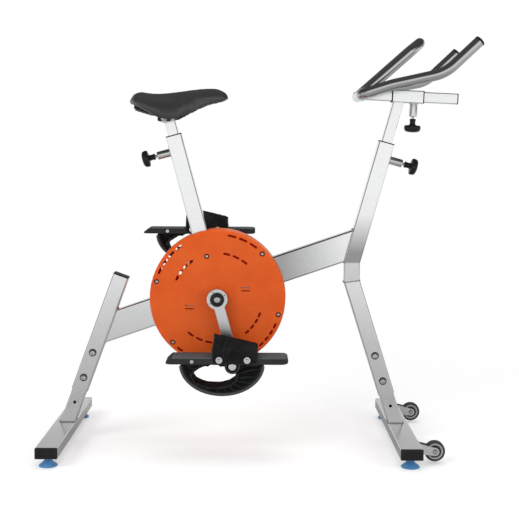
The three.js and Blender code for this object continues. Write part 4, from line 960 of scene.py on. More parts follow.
# Dark red strips behind the closed slots: painted shade for the shaded inside of the covers
SLOT_SHADE = Moulded(
    "slot_liner", "orange_plastic", colour=(0.30, 0.009, 0.002), deep=(0.25, 0.007, 0.002),
    rubbed=(0.36, 0.015, 0.004), gloss=0.7, grain=900.0, depth=0.00002, wear=0.1, specular=0.1,
)
BLACK = Moulded(
    "black_moulding", "black_plastic", colour=(0.014, 0.014, 0.015), deep=(0.009, 0.009, 0.0095),
    rubbed=(0.05, 0.05, 0.05), gloss=0.5, grain=1500.0, depth=0.00003, specular=0.3,
)
TREAD = Moulded(
    "pedal_moulding", "black_pedal", colour=(0.036, 0.038, 0.040), deep=(0.028, 0.030, 0.032),
    rubbed=(0.10, 0.10, 0.10), gloss=0.8, grain=1100.0, depth=0.00005, wear=0.35, specular=0.08,
)
GRIP = Moulded(
    "pedal_grip_mat", "black_pedal", colour=(0.115, 0.127, 0.132), deep=(0.085, 0.094, 0.098),
    rubbed=(0.16, 0.16, 0.16), gloss=0.85, grain=900.0, depth=0.00005, wear=0.3, specular=0.05,
)
COVERING = Moulded(
    "saddle_covering", "black_saddle", colour=(0.036, 0.036, 0.037), deep=(0.028, 0.028, 0.029),
    rubbed=(0.07, 0.07, 0.07), gloss=0.32, grain=620.0, depth=0.00005, wear=0.25, specular=0.7,
)
BLUE = Moulded(
    "blue_suction_rubber", "blue_rubber", colour=(0.13, 0.34, 0.62), deep=(0.07, 0.24, 0.5),
    rubbed=(0.2, 0.42, 0.66), gloss=0.38, grain=500.0, depth=0.00003, soft=0.25,
)
TYRE = Moulded(
    "roller_tyre", "tyre_rubber", colour=(0.048, 0.048, 0.05), deep=(0.03, 0.03, 0.032),
    rubbed=(0.12, 0.12, 0.12), gloss=0.6, grain=900.0, depth=0.00008, wear=0.5,
)
ROLLER = Moulded(
    "roller_core", "tyre_rubber", colour=(0.42, 0.42, 0.43), deep=(0.34, 0.34, 0.35),
    rubbed=(0.55, 0.55, 0.55), gloss=0.5, grain=900.0, depth=0.00003,
)
POLISHED = Metal(
    "polished_steel", "polished_stainless", metal=(0.84, 0.85, 0.86), shade=(0.82, 0.83, 0.84),
    gloss=0.12, streak=0.0, depth=0.0,
)
# A darker copy of the polished steel for the handlebar: painted shade for the darker room it reflects
POLISHED_SHADED = replace(POLISHED, name="handlebar_steel", metal=(0.55, 0.555, 0.56), shade=(0.5, 0.505, 0.51))
BOLT = Metal(
    "bolt_steel", "polished_stainless", metal=(0.62, 0.62, 0.62), shade=(0.5, 0.5, 0.5), gloss=0.24,
    streak=0.08, depth=0.00001,
)
SOCKET = Metal(
    "socket_screw_steel", "polished_stainless", metal=(0.78, 0.78, 0.78), shade=(0.66, 0.66, 0.66),
    gloss=0.36, streak=0.05,
)
RAIL = Metal(
    "rail_steel", "polished_stainless", metal=(0.16, 0.16, 0.165), shade=(0.12, 0.12, 0.12), gloss=0.3,
    streak=0.04,
)
TURNED = Metal(
    "turned_steel", "stainless_tube", metal=(0.80, 0.80, 0.80), shade=(0.58, 0.58, 0.58), gloss=0.2,
    streak=0.16, depth=0.00001,
)
WELD = Metal(
    "weld_bead", "stainless_tube", metal=(0.9, 0.9, 0.89), shade=(0.78, 0.77, 0.75), gloss=0.55,
    streak=0.05, depth=0.00001, rim=0.1,
)
KNOB = Moulded(
    "knob_moulding", "black_plastic", colour=(0.012, 0.012, 0.013), deep=(0.009, 0.009, 0.0095),
    rubbed=(0.05, 0.05, 0.05), gloss=0.3, grain=1800.0, depth=0.00001, wear=0.2, specular=0.25,
)
ZINC = Metal(
    "zinc_plated_steel", "polished_stainless", metal=(0.9, 0.9, 0.9), shade=(0.8, 0.8, 0.8), gloss=0.3,
    streak=0.04, rim=0.2,
)
CLOTH = Fabric(
    "pedal_cloth", "black_fabric", colour=(0.013, 0.0134, 0.0138), deep=(0.005, 0.0052, 0.0054), gloss=0.75,
    sheen=0.0, specular=0.05,
)
LOOP_CLOTH = replace(
    CLOTH, name="loop_cloth", colour=(0.008, 0.0083, 0.0086), deep=(0.003, 0.0031, 0.0032)
)
PIPING = Fabric(
    "pedal_piping", "black_fabric", colour=(0.027, 0.028, 0.029), deep=(0.018, 0.019, 0.020), gloss=0.6
)


# Geometry Nodes


@cache
def copies_tree() -> bpy.types.NodeTree:
    """Returns the tree that sets a copy of one template at every point, turned by "turn"."""
    board, take_in, give = open_group(
        "PlacedCopies",
        "GeometryNodeTree",
        {
            "Places": (Kind.GEOMETRY, None),
            "Template": (Kind.OBJECT, None),
            "Size": (Kind.VALUE, 1.0),
            "Finish": (Kind.MATERIAL, None),
        },
        {"Geometry": Kind.GEOMETRY},
    )
    template = board.add("GeometryNodeObjectInfo", {}, Object=take_in["Template"]).outputs["Geometry"]
    turned = board.add("GeometryNodeInputNamedAttribute", {"data_type": "FLOAT_VECTOR"}, Name="turn")
    points = board.add("GeometryNodeMeshToPoints", {}, Mesh=take_in["Places"]).outputs[0]
    angle = board.add("FunctionNodeEulerToRotation", {}, Euler=turned.outputs[0]).outputs[0]
    many = board.add(
        "GeometryNodeInstanceOnPoints", {}, Points=points, Instance=template, Rotation=angle,
        Scale=take_in["Size"],
    ).outputs[0]
    plain = board.add("GeometryNodeRealizeInstances", {}, Geometry=many).outputs[0]
    dressed = board.add("GeometryNodeSetMaterial", {}, Geometry=plain, Material=take_in["Finish"])
    board.fill(give, Geometry=dressed.outputs[0])
    return board.tree


# Pieces


def smooth(mesh: bpy.types.Mesh, sharp: float) -> None:
    """Smooths a mesh but for the edges above an angle in degrees."""
    mesh.shade_smooth()
    mesh.set_sharp_from_angle(angle=math.radians(sharp))


def declare(piece: bpy.types.Object, body: str, finish: Finish, nodes: Sequence[str]) -> bpy.types.Object:
    """Paints a piece in place, hangs it on its body and hides the imported solids it stands for.

    Args:
        piece: the object, in place.
        body: the moving body that carries it.
        finish: its finish.
        nodes: the plain solids it stands for.
    Returns:
        The same object.
    """
    mesh = piece.data
    mesh.materials.clear()
    mesh.materials.append(finish.material())
    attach(piece, body)
    if nodes:
        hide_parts(*nodes)
    log.info("%s: %d faces on %s", piece.name, len(mesh.polygons), body)
    return piece


def add(
    name: str, shape: Shape, body: str, finish: Finish, nodes: Sequence[str] = (), sharp: float = SHARP,
    flat: bool = False,
) -> bpy.types.Object:
    """Makes a finished piece out of a shape.

    Args:
        name: the piece's name.
        shape: its shells.
        body: the moving body that carries it.
        finish: its finish.
        nodes: the plain solids it stands for.
        sharp: edges above this angle stay crisp, in degrees.
        flat: whether broad flats are kept flat beside their roundings.
    Returns:
        The object.
    """
    piece = workpiece(name, shape)
    smooth(piece.data, sharp)
    if flat:
        even = piece.modifiers.new("even", "WEIGHTED_NORMAL")
        even.keep_sharp, even.weight = True, 100
        settle(piece)
    return declare(piece, body, finish, nodes)


def placed(
    name: str, places: Sequence[tuple[Vector, Triple]], template: Shape, body: str, finish: Finish,
    nodes: Sequence[str] = (),
) -> bpy.types.Object:
    """Sets a copy of a template at each place with Geometry Nodes, and keeps them as plain mesh.

    Args:
        name: the piece's name.
        places: pairs of a place and a turn about X, Y and Z in degrees.
        template: what is copied, round its own origin.
        body: the moving body that carries the copies.
        finish: the copies' finish.
        nodes: the plain solids they stand for.
    Returns:
        One object that holds all the copies.
    """
    base = bpy.data.meshes.new(name)
    base.from_pydata([tuple(p) for p, _ in places], [], [])
    turns = base.attributes.new("turn", "FLOAT_VECTOR", "POINT")
    for i, (_, angles) in enumerate(places):
        turns.data[i].vector = tuple(math.radians(a) for a in angles)
    piece = linked(name, base)
    pattern = workpiece("template", template)
    smooth(pattern.data, TEMPLATE_SHARP)
    values = {"Template": pattern, "Finish": finish.material()}
    grow = piece.modifiers.new("grow", "NODES")
    grow.node_group = copies_tree()
    for item in grow.node_group.interface.items_tree:
        if item.in_out == "INPUT" and item.name in values:
            grow[item.identifier] = values[item.name]
    settle(piece)
    bpy.data.objects.remove(pattern)
    smooth(piece.data, SHARP)
    return declare(piece, body, finish, nodes)


def box_in(node: str) -> Vector:
    """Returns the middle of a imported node's box."""
    low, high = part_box(node)
    return (low + high) / 2


@dataclass(frozen=True)
class BoxTube:
    """A rectangular tube's section: high along its lift, wide across it."""

    tall: float
    wide: float
    wall: float
    corner: float

    def outer(self, proud: float = 0.0) -> Ring:
        """Returns the outer ring, grown by proud."""
        return rounded(self.tall + 2 * proud, self.wide + 2 * proud, self.corner + proud)

    def inner(self) -> Ring:
        """Returns the bore's ring."""
        bore = max(self.corner - self.wall, self.wall / 4)
        return rounded(self.tall - 2 * self.wall, self.wide - 2 * self.wall, bore)

    def along(self, path: Sweep) -> Shape:
        """Returns the tube carried along a path."""
        return path.tube(self.outer(), self.inner())

    def hoop(self, path: Sweep, end: int, proud: float = 0.0004) -> list[Vector]:
        """Returns the ring of places round the tube at the path's first or last point."""
        return path.rings(self.outer(proud))[end]


SQUARE_LEG = BoxTube(0.045, 0.045, 0.002, 0.004)
SQUARE_STUB = BoxTube(0.040, 0.040, 0.0025, 0.003)
SQUARE_POST = BoxTube(0.030, 0.030, 0.002, 0.003)
BEAM = BoxTube(0.080, 0.040, 0.002, 0.005)
# How far both posts reach down inside their tubes
POST_HIDDEN = 0.250


def upright(start: float, end: float, **cuts: Vector) -> Sweep:
    """Returns a straight path up Z, for a tube in its own leaning frame."""
    return Sweep([Z * start, Z * end], X, **cuts)


@dataclass(frozen=True)
class Layout:
    """Where the main pieces stand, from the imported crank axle's middle."""

    hub: Vector
    base_top: float = 0.056
    rear_shown: float = 0.097
    front_shown: float = 0.088
    leg_bolt_rise: float = 0.042
    leg_bolt_pitch: float = 0.077
    rear_stub_back: float = 0.434
    front_stub_ahead: float = 0.516
    rear_lean: float = 20.0
    front_lean: float = 17.6
    column_foot: float = 0.468
    knee: float = 0.524
    column_top: float = 0.865
    column_lean: float = 15.7
    beam_slope: float = 19.0
    beam_over: float = 0.017
    seat_back: float = 0.12858
    seat_height: float = 0.883
    seat_lean: float = 15.2
    bush_flange: float = 0.003
    post_shown: float = 0.045
    clamp_back: float = 0.012
    clamp_rise: float = 0.008
    sleeve_above: float = 0.134
    sleeve_overlap: float = 0.022
    slider_tilt: float = 2.4
    slider_back: float = 0.138
    bar_drop: float = 0.004
    crank_length: float = 0.1725
    crank_forward: float = 15.4
    pedal_mid: float = 0.150

    @property
    def column_x(self) -> float:
        """Place of the column's upright foot along the bike."""
        run = (self.column_foot - self.base_top) * tan(self.front_lean)
        return self.hub.x + self.front_stub_ahead - run

    @property
    def column_top_x(self) -> float:
        """Place of the column's top along the bike."""
        return self.column_x + (self.column_top - self.knee) * tan(self.column_lean)

    def rear_leg(self) -> Matrix:
        """Returns the rear leg's frame: Z up the leg from the base bar's top."""
        return place(self.hub.x - self.rear_stub_back, 0, self.base_top, self.rear_lean)

    def front_leg(self) -> Matrix:
        """Returns the front leg's frame: Z up the leg from the base bar's top."""
        return place(self.hub.x + self.front_stub_ahead, 0, self.base_top, -self.front_lean)

    def column(self) -> Matrix:
        """Returns the column's frame: the origin is its top, Z leads up it."""
        return place(self.column_top_x, 0, self.column_top, self.column_lean)

    def beam(self) -> Matrix:
        """Returns the beam's frame: X leads up the beam, the origin is the crank axle."""
        return place(self.hub.x, 0, self.hub.z, -self.beam_slope)

    def seat(self) -> Matrix:
        """Returns the seat tube's frame: the origin is its top, Z leads up it."""
        return place(self.hub.x - self.seat_back, 0, self.seat_height, -self.seat_lean)

    def saddle(self) -> Matrix:
        """Returns the saddle's level frame at the clamp bolt."""
        up = self.bush_flange + self.post_shown + self.clamp_rise
        return Matrix.Translation(self.seat() @ Vector((-self.clamp_back, 0, up)))

    def sleeve(self) -> Matrix:
        """Returns the sleeve's frame: X along the slider, the origin is its middle."""
        x = self.column_top_x + self.sleeve_above * tan(self.column_lean) + self.sleeve_overlap
        return place(x, 0, self.column_top + self.sleeve_above, self.slider_tilt)

    def bars(self) -> Matrix:
        """Returns the handlebar's level frame at the rear bar's middle."""
        return Matrix.Translation(self.sleeve() @ Vector((-self.slider_back, 0, -self.bar_drop)))

    def crank(self, hand: int) -> Matrix:
        """Returns a crank's frame at the hub, with its arm along -Z."""
        lean = -self.crank_forward if hand < 0 else 180 - self.crank_forward
        return place(self.hub.x, 0, self.hub.z, lean)

    def pedal(self, hand: int) -> Matrix:
        """Returns a pedal's level frame at its axle, in the plate's middle."""
        return Matrix.Translation(self.crank(hand) @ Vector((0, hand * self.pedal_mid, -self.crank_length)))


def button_head(radius: float, tall: float, socket: float, depth: float) -> Shape:
    """Returns a domed screw head with a six-sided socket, its seat on z = 0."""
    dome = [
        (0, 0), (radius * 0.96, 0), (radius, tall * 0.12), (radius * 0.97, tall * 0.42),
        (radius * 0.82, tall * 0.78), (radius * 0.6, tall * 0.96), (socket * 1.16, tall),
    ]
    head = revolved([*dome, (0, tall)], 48)
    hexagon = [(socket * cos(60 * i), socket * sin(60 * i)) for i in range(6)]
    key = Sweep([Z * (tall - depth), Z * (tall + OVERRUN)], X).bar(hexagon)
    return carved(head, key)


def washer(bore: float, radius: float, thick: float) -> Shape:
    """Returns a flat ring with eased rims, its seat on z = 0."""
    return revolved(ring_section(bore, radius, 0, thick, thick * 0.3), 48)


def ring_section(bore: float, radius: float, start: float, end: float, edge: float) -> Ring:
    """Returns the closed section of a ring with eased corners."""
    seam = (bore, (start + end) / 2)
    corners = [seam, (bore, start), (radius, start), (radius, end), (bore, end), seam]
    return rounding(corners, edge, 3)[:-1]


@dataclass
class BaseBars:
    """Base bars with caps, suction feet, leg stubs, wheel forks and transport wheels."""

    layout: Layout
    bar: BoxTube = BoxTube(0.030, 0.060, 0.0025, 0.003)
    length: float = 0.560
    underside: float = 0.026
    hidden: float = 0.150
    hole_radius: float = 0.0045
    rear_back: float = 0.442
    front_ahead: float = 0.523
    cap_flange: float = 0.003
    plug_play: float = 0.0056
    plug_depth: float = 0.013
    foot_inset: float = 0.028
    foot_radius: float = 0.025
    wheel_side: float = 0.213
    wheel_ahead: float = 0.071
    wheel_height: float = 0.033
    wheel_radius: float = 0.028
    wheel_wide: float = 0.020
    fork_gap: float = 0.0012
    fork_plate: float = 0.003
    fork_root: float = 0.027
    fork_tip: float = 0.011

    def build(self) -> None:
        """Builds both bars with everything that stands on or hangs from them."""
        layout = self.layout
        rear, front = layout.hub.x - self.rear_back, layout.hub.x + self.front_ahead
        self.station("rear", rear, layout.rear_leg(), layout.rear_shown, layout.rear_lean)
        self.station("front", front, layout.front_leg(), layout.front_shown, -layout.front_lean)
        for side, hand in HANDS.items():
            self.forks(side, hand)
            self.wheel(side, hand)

    def station(self, where: str, x: float, leg: Matrix, shown: float, lean: float) -> None:
        """Builds one bar with its stub, caps and feet.

        Args:
            where: rear or front.
            x: the bar's place along the bike.
            leg: the leg's frame.
            shown: how much of the stub the leg leaves bare.
            lean: the stub's lean in degrees.
        """
        level = self.underside + self.bar.tall / 2
        ends = [Vector((x, y * self.length / 2, level)) for y in (-1, 1)]
        bar = self.bar.along(Sweep(ends, Z))
        add(f"{where}_bar", bar, "frame", SATIN_Y, [f"{where}_base"], flat=True)
        path = upright(0, shown + self.hidden, start_cut=turn(-lean, "Y") @ Z)
        way = rod(self.hole_radius, -self.bar.wide, self.bar.wide).turned(90, "X")
        level_of_hole = shown + self.layout.leg_bolt_rise - self.layout.leg_bolt_pitch
        stub = carved(SQUARE_STUB.along(path), way.at(0, 0, level_of_hole))
        add(f"{where}_stub", stub.moved(leg), "frame", leaning_steel(lean), flat=True)
        weld = bead([leg @ p for p in SQUARE_STUB.hoop(path, 0)], 0.0024)
        add(f"{where}_stub_weld", weld, "frame", WELD)
        for side, hand in HANDS.items():
            self.cap(f"{where}_{side}", x, hand, level)
            self.foot(f"{where}_{side}", x, hand)

    def cap(self, name: str, x: float, hand: int, level: float) -> None:
        """Builds an end cap: a flange with a shallow dish, and its plug inside the tube."""
        start = self.length / 2 + GAP
        flange = Sweep([Y * start, Y * (start + self.cap_flange)], Z).bar(self.bar.outer())
        flange = eased(flange, 0.0008, 3)
        dish = slab(self.bar.wide * 0.72, self.cap_flange / 2, self.bar.tall * 0.5)
        flange = carved(flange, eased(dish, 0.0006, 2).at(0, start + self.cap_flange, 0))
        inner = rounded(self.bar.tall - self.plug_play, self.bar.wide - self.plug_play, 0.001)
        plug = Sweep([Y * (start - self.plug_depth), Y * start], Z).bar(inner)
        shape = joined(flange, plug).handed(hand).at(x, 0, level)
        add(f"{name}_end_cap", shape, "frame", BLACK, [f"{name}_cap"])

    def foot(self, name: str, x: float, hand: int) -> None:
        """Builds a suction foot with its flared skirt and collar."""
        top = self.underside - GAP
        rim, neck = self.foot_radius, 0.009
        skirt = [
            (rim, 0.0), (rim, 0.0025), (rim * 0.9, 0.0052), (rim * 0.66, 0.0095),
            (neck * 1.28, 0.0145), (neck, 0.0175), (neck, 0.0192), (neck * 1.22, 0.0198),
            (neck * 1.22, 0.0222), (neck, 0.0228), (neck, top),
        ]
        profile = [(0, 0.0035), (0.015, 0.0006), *skirt, (0, top)]
        shape = revolved(rounding(profile, 0.0016, 3), 72)
        stand = shape.at(x, hand * (self.length / 2 - self.foot_inset), 0)
        add(f"{name}_suction_foot", stand, "frame", BLUE, [f"{name}_foot"], sharp=60)

    def forks(self, side: str, hand: int) -> None:
        """Builds a wheel's two fork plates and the bolt between them."""
        reach = self.wheel_ahead - self.bar.wide / 2
        drop = self.wheel_height - self.underside - self.bar.tall / 2
        hug = math.degrees(math.acos((self.fork_tip - self.fork_root / 2) / math.hypot(reach, drop)))
        tilt = math.degrees(math.atan2(drop, reach))
        root, seat = self.fork_root / 2, -0.0002
        tip = arc(reach, drop, self.fork_tip, tilt - hug, tilt + hug)
        outline = [(seat, -root), *tip, (seat, root)]
        outer = self.wheel_wide / 2 + self.fork_gap + self.fork_plate / 2
        leaf = eased(plate(outline, self.fork_plate), 0.0005, 2)
        x = self.layout.hub.x + self.front_ahead + self.bar.wide / 2
        level = self.underside + self.bar.tall / 2
        spot = Matrix.Translation((x, hand * self.wheel_side, level))
        leaves = joined(*(leaf.at(0, y * outer, 0) for y in (-1, 1)))
        add(f"{side}_wheel_fork", leaves.moved(spot), "frame", SATIN_Y, flat=True)
        face = outer + self.fork_plate / 2
        head = button_head(0.007, 0.0034, 0.0028, 0.002)
        shank = rod(0.004, -face, face).turned(90, "X").at(reach, 0, drop)
        heads = [head.turned(90 * y, "X").at(reach, -y * face, drop) for y in (-1, 1)]
        add(f"{side}_wheel_bolt", joined(shank, *heads).moved(spot), "frame", BOLT)

    def wheel(self, side: str, hand: int) -> None:
        """Builds a transport wheel: rubber tyre, pale rim and dark core."""
        half = self.wheel_wide / 2
        out, groove = self.wheel_radius, self.wheel_radius - 0.001
        rim, tread, edge = self.wheel_radius * 0.77, half - 0.001, 0.003
        tyre = [
            (rim, 0), (rim, -tread), (out - edge, -tread), (out, -tread + edge), (out, -0.0016),
            (groove, -0.0009), (groove, 0.0009), (out, 0.0016), (out, tread - edge), (out - edge, tread),
            (rim, tread), (rim, 0),
        ]
        ahead = self.layout.hub.x + self.front_ahead + self.wheel_ahead
        spot = Matrix.Translation((ahead, hand * self.wheel_side, self.wheel_height)) @ turn(90, "X")
        body = f"{side}_wheel_body"
        ring = revolved(rounding(tyre, 0.0012, 3)[:-1], 96)
        add(f"{side}_tyre", ring.moved(spot), body, TYRE, [f"{side}_wheel"])
        lip = ring_section(rim * 0.8, rim - 0.0001, -tread + 0.0004, tread - 0.0004, 0.0008)
        add(f"{side}_wheel_rim", revolved(lip, 96).moved(spot), body, ROLLER)
        web = ring_section(0.0044, rim * 0.8, -0.004, 0.004, 0.0006)
        hub = ring_section(0.0044, 0.010, -half, half, 0.0008)
        core = joined(revolved(web, 64), revolved(hub, 64))
        add(f"{side}_wheel_core", core.moved(spot), body, TYRE)


def leaning_steel(lean: float) -> Metal:
    """Returns the satin finish whose grain runs up a tube that leans by degrees."""
    return steel(f"satin_steel_{'up' if lean >= 0 else 'down'}_{abs(lean):.0f}", (0.0, 90.0 - lean, 0.0))


@dataclass
class Legs:
    """Leg sleeves over the base stubs, their bolts and the rear leg's cap."""

    layout: Layout
    rear_length: float = 0.354
    head_radius: float = 0.011
    head_tall: float = 0.006
    cap_thick: float = 0.003
    plug_depth: float = 0.016

    def build(self) -> None:
        """Builds both legs."""
        layout = self.layout
        rear_end = layout.rear_shown + self.rear_length
        rear = upright(layout.rear_shown, rear_end)
        self.leg("rear", layout.rear_leg(), rear, layout.rear_shown, layout.rear_lean)
        top = (layout.column_foot - layout.base_top) / cos(layout.front_lean) - GAP
        front = upright(layout.front_shown, top, end_cut=turn(layout.front_lean / 2, "Y") @ Z)
        self.leg("front", layout.front_leg(), front, layout.front_shown, -layout.front_lean)
        weld = bead([layout.front_leg() @ p for p in SQUARE_LEG.hoop(front, -1)], 0.0018)
        add("knee_weld", weld, "frame", WELD)
        end = rear_end + GAP
        cap = eased(upright(end, end + self.cap_thick).bar(SQUARE_LEG.outer()), 0.0009, 3)
        plug = upright(end - self.plug_depth, end).bar(rounded(0.040, 0.040, 0.003))
        closed = joined(cap, plug).moved(layout.rear_leg())
        add("rear_leg_end_cap", closed, "frame", BLACK, ["rear_leg_cap"])

    def leg(self, where: str, spot: Matrix, path: Sweep, shown: float, lean: float) -> None:
        """Builds one sleeve and its two bolts on the right-hand face."""
        sleeve = SQUARE_LEG.along(path).moved(spot)
        add(f"{where}_leg_sleeve", sleeve, "frame", leaning_steel(lean), [f"{where}_leg"], flat=True)
        first = shown + self.layout.leg_bolt_rise
        rows = [Vector((0, -SQUARE_LEG.wide / 2, first + row * self.layout.leg_bolt_pitch)) for row in (0, 1)]
        places = [(spot @ at, (90.0, lean, 0.0)) for at in rows]
        head = button_head(self.head_radius * 0.8, self.head_tall - 0.001, 0.0046, 0.0042).at(0, 0, 0.001)
        placed(f"{where}_leg_sockets", places, head, "frame", SOCKET, [f"{where}_leg_bolts"])
        placed(f"{where}_leg_washers", places, washer(0.0045, self.head_radius, 0.0012), "frame", BLACK)


@dataclass
class Pins:
    """Bored bosses welded to tubes, and the pull pins with mushroom knobs in them."""

    boss_radius: float = 0.0115
    boss_length: float = 0.038
    pin_radius: float = 0.004
    shown: float = 0.0065
    stem_radius: float = 0.009
    stem_length: float = 0.0185
    knob_radius: float = 0.024
    knob_thick: float = 0.020
    below_top: float = 0.043

    def beside(self, tube: Matrix, way: float) -> Matrix:
        """Returns a pin's frame below a tube's top, with Z turned out of the tube by degrees."""
        return tube @ Matrix.Translation((0, 0, -self.below_top)) @ turn(way, "Y")

    def boss(self, name: str, body: str, spot: Matrix, face: float) -> None:
        """Builds a boss that stands out along Z from a tube's face, and its weld."""
        section = ring_section(self.pin_radius + GAP, self.boss_radius, face, face + self.boss_length, 0.0012)
        add(f"{name}_boss", revolved(section, 64).moved(spot), body, TURNED)
        ring = [Vector((x, y, face)) for x, y in circle(self.boss_radius, 40)]
        add(f"{name}_boss_weld", bead([spot @ p for p in ring], 0.0018), body, WELD)

    def pin(self, name: str, spot: Matrix, face: float, inside: float) -> None:
        """Builds a pin, its moulded stem and its knob along Z.

        Args:
            name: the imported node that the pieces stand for.
            spot: the pin's frame.
            face: the tube face that the boss stands on.
            inside: where the pin's tip ends.
        """
        body = f"{name}_body"
        start = face + self.boss_length + self.shown
        pin = rod(self.pin_radius, inside + GAP, start + 0.004, 0.0008)
        add(f"{name}_rod", pin.moved(spot), body, BOLT, [name])
        head = start + self.stem_length
        end = head + self.knob_thick
        stem, wide = self.stem_radius, self.knob_radius
        profile = [
            (0, start), (stem * 0.94, start), (stem, start + 0.002), (stem, start + 0.005),
            (stem * 0.86, start + 0.0062), (stem * 0.9, head - 0.003), (stem * 1.25, head - 0.0006),
            (wide * 0.8, head), (wide * 0.96, head + 0.0015), (wide, head + 0.006),
            (wide * 0.985, head + 0.010), (wide * 0.9, end - 0.0042), (wide * 0.66, end - 0.0012),
            (wide * 0.34, end), (0, end),
        ]
        add(f"{name}_knob", revolved(rounding(profile, 0.0018, 3), 96).moved(spot), body, KNOB, sharp=70)


def square_bush(name: str, node: str, spot: Matrix, layout: Layout) -> None:
    """Builds the flanged bush in a square tube's top."""
    section = BoxTube(0.045, 0.045, 0.0072, 0.004)
    flange = eased(section.along(upright(GAP, GAP + layout.bush_flange)), 0.0007, 3)
    liner = BoxTube(0.0404, 0.0404, 0.0049, 0.003).along(upright(-0.060, GAP))
    add(name, joined(flange, liner).moved(spot), "frame", BLACK, [node], flat=True)


# Painted shade: how much of its colour a tube keeps along its length, by the larger one of a pair
# The column is painted darkest just above its knee, and the beam where it passes the covers
COLUMN_PAINTED_SHADE = (
    PaintedShade(way=(0, 0, 1), start=0.550, end=0.66, at_start=0.38, at_end=1.0),
    PaintedShade(way=(0, 0, 1), start=0.520, end=0.527, at_start=0.8, at_end=0.0),
)
BEAM_PAINTED_SHADE = (
    PaintedShade(way=(1, 0, 0), start=0.06, end=0.235, at_start=0.46, at_end=1.0),
    PaintedShade(way=(1, 0, 0), start=-0.25, end=-0.1, at_start=1.0, at_end=0.0),
)


@dataclass
class Frame:
    """Main beam, column, seat tube and their bushes, with the welds between them."""

    layout: Layout
    pins: Pins

    def build(self) -> None:
        """Builds the welded frame."""
        self.build_column()
        self.build_beam()
        self.build_seat_tube()
        self.repaint("bracket_shell", SATIN_Y)
        for node in ("right_bearing", "left_bearing", "crank_axle"):
            self.repaint(node, BOLT)

    def repaint(self, node: str, finish: Finish) -> None:
        """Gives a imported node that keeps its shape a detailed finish."""
        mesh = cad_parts[node].data
        for i in range(len(mesh.materials)):
            mesh.materials[i] = finish.material()

    def build_column(self) -> None:
        """Builds the upright knee and leaning column in one tube."""
        layout = self.layout
        foot, top = layout.column_x, layout.column_top_x
        corners = ((foot, layout.column_foot), (foot, layout.knee), (top, layout.column_top))
        points = [Vector((x, 0, z)) for x, z in corners]
        cut = turn(-layout.front_lean / 2, "Y") @ Z
        tube = SQUARE_LEG.along(Sweep(points, X, start_cut=cut))
        # The column takes a painted shade, darkest just above its knee
        shade_painted_steel = replace(leaning_steel(layout.column_lean), name="column_steel", painted_shades=COLUMN_PAINTED_SHADE)
        add("column_tube", tube, "frame", shade_painted_steel, ["front_column"], flat=True)
        spot = self.pins.beside(layout.column(), 90)
        self.pins.boss("height", "frame", spot, SQUARE_LEG.tall / 2)
        square_bush("column_top_bush", "column_bush", layout.column(), layout)

    def beam_ends(self) -> tuple[float, float, float, float]:
        """Returns where the beam meets the leg and the column, and both tilts."""
        layout = self.layout
        to_beam = layout.beam().inverted()
        rear = to_beam @ layout.rear_leg().translation
        front = to_beam @ Vector((layout.column_x, 0, layout.knee))
        rear_tilt = 90 - layout.rear_lean - layout.beam_slope
        front_tilt = 90 - layout.column_lean - layout.beam_slope
        half = SQUARE_LEG.tall / 2 + GAP
        rear_x = rear.x + (layout.beam_over - rear.z) / tan(rear_tilt) + half / sin(rear_tilt)
        front_x = front.x + (layout.beam_over - front.z) / tan(front_tilt) - half / sin(front_tilt)
        return rear_x, front_x, rear_tilt, front_tilt

    def build_beam(self) -> None:
        """Builds the main beam with coped ends and its welds."""
        layout = self.layout
        rear_x, front_x, rear_tilt, front_tilt = self.beam_ends()
        over = layout.beam_over
        cuts = [Vector((cos(tilt - 90), 0, sin(tilt - 90))) for tilt in (rear_tilt, front_tilt)]
        path = Sweep([Vector((rear_x, 0, over)), Vector((front_x, 0, over))], Z, cuts[0], cuts[1])
        tube = BEAM.along(path).moved(layout.beam())
        # The beam takes a painted shade where it passes the covers
        shade_painted_steel = replace(leaning_steel(90 - layout.beam_slope), name="beam_steel", painted_shades=BEAM_PAINTED_SHADE)
        add("beam_tube", tube, "frame", shade_painted_steel, ["main_beam"], flat=True)
        for name, end in (("rear", 0), ("front", -1)):
            ring = [layout.beam() @ p for p in BEAM.hoop(path, end)]
            add(f"beam_{name}_weld", bead(ring, 0.0024), "frame", WELD)

    def build_seat_tube(self) -> None:
        """Builds the seat tube, coped on the beam, with its boss and bush."""
        layout = self.layout
        slope = tan(layout.beam_slope)
        beam_top = layout.hub.z + (layout.beam_over + BEAM.tall / 2 + GAP) / cos(layout.beam_slope)
        rise = layout.seat_height - beam_top + layout.seat_back * slope
        drop = rise / (cos(layout.seat_lean) + sin(layout.seat_lean) * slope)
        heading = 90 + layout.beam_slope - layout.seat_lean
        path = upright(-drop, 0, start_cut=Vector((cos(heading), 0, sin(heading))))
        tube = SQUARE_LEG.along(path).moved(layout.seat())
        add("seat_upright", tube, "frame", leaning_steel(-layout.seat_lean), ["seat_tube"], flat=True)
        ring = [layout.seat() @ p for p in SQUARE_LEG.hoop(path, 0)]
        add("seat_upright_weld", bead(ring, 0.0024), "frame", WELD)
        self.pins.boss("seat", "frame", self.pins.beside(layout.seat(), -90), SQUARE_LEG.tall / 2)
        square_bush("seat_top_bush", "seat_bush", layout.seat(), layout)


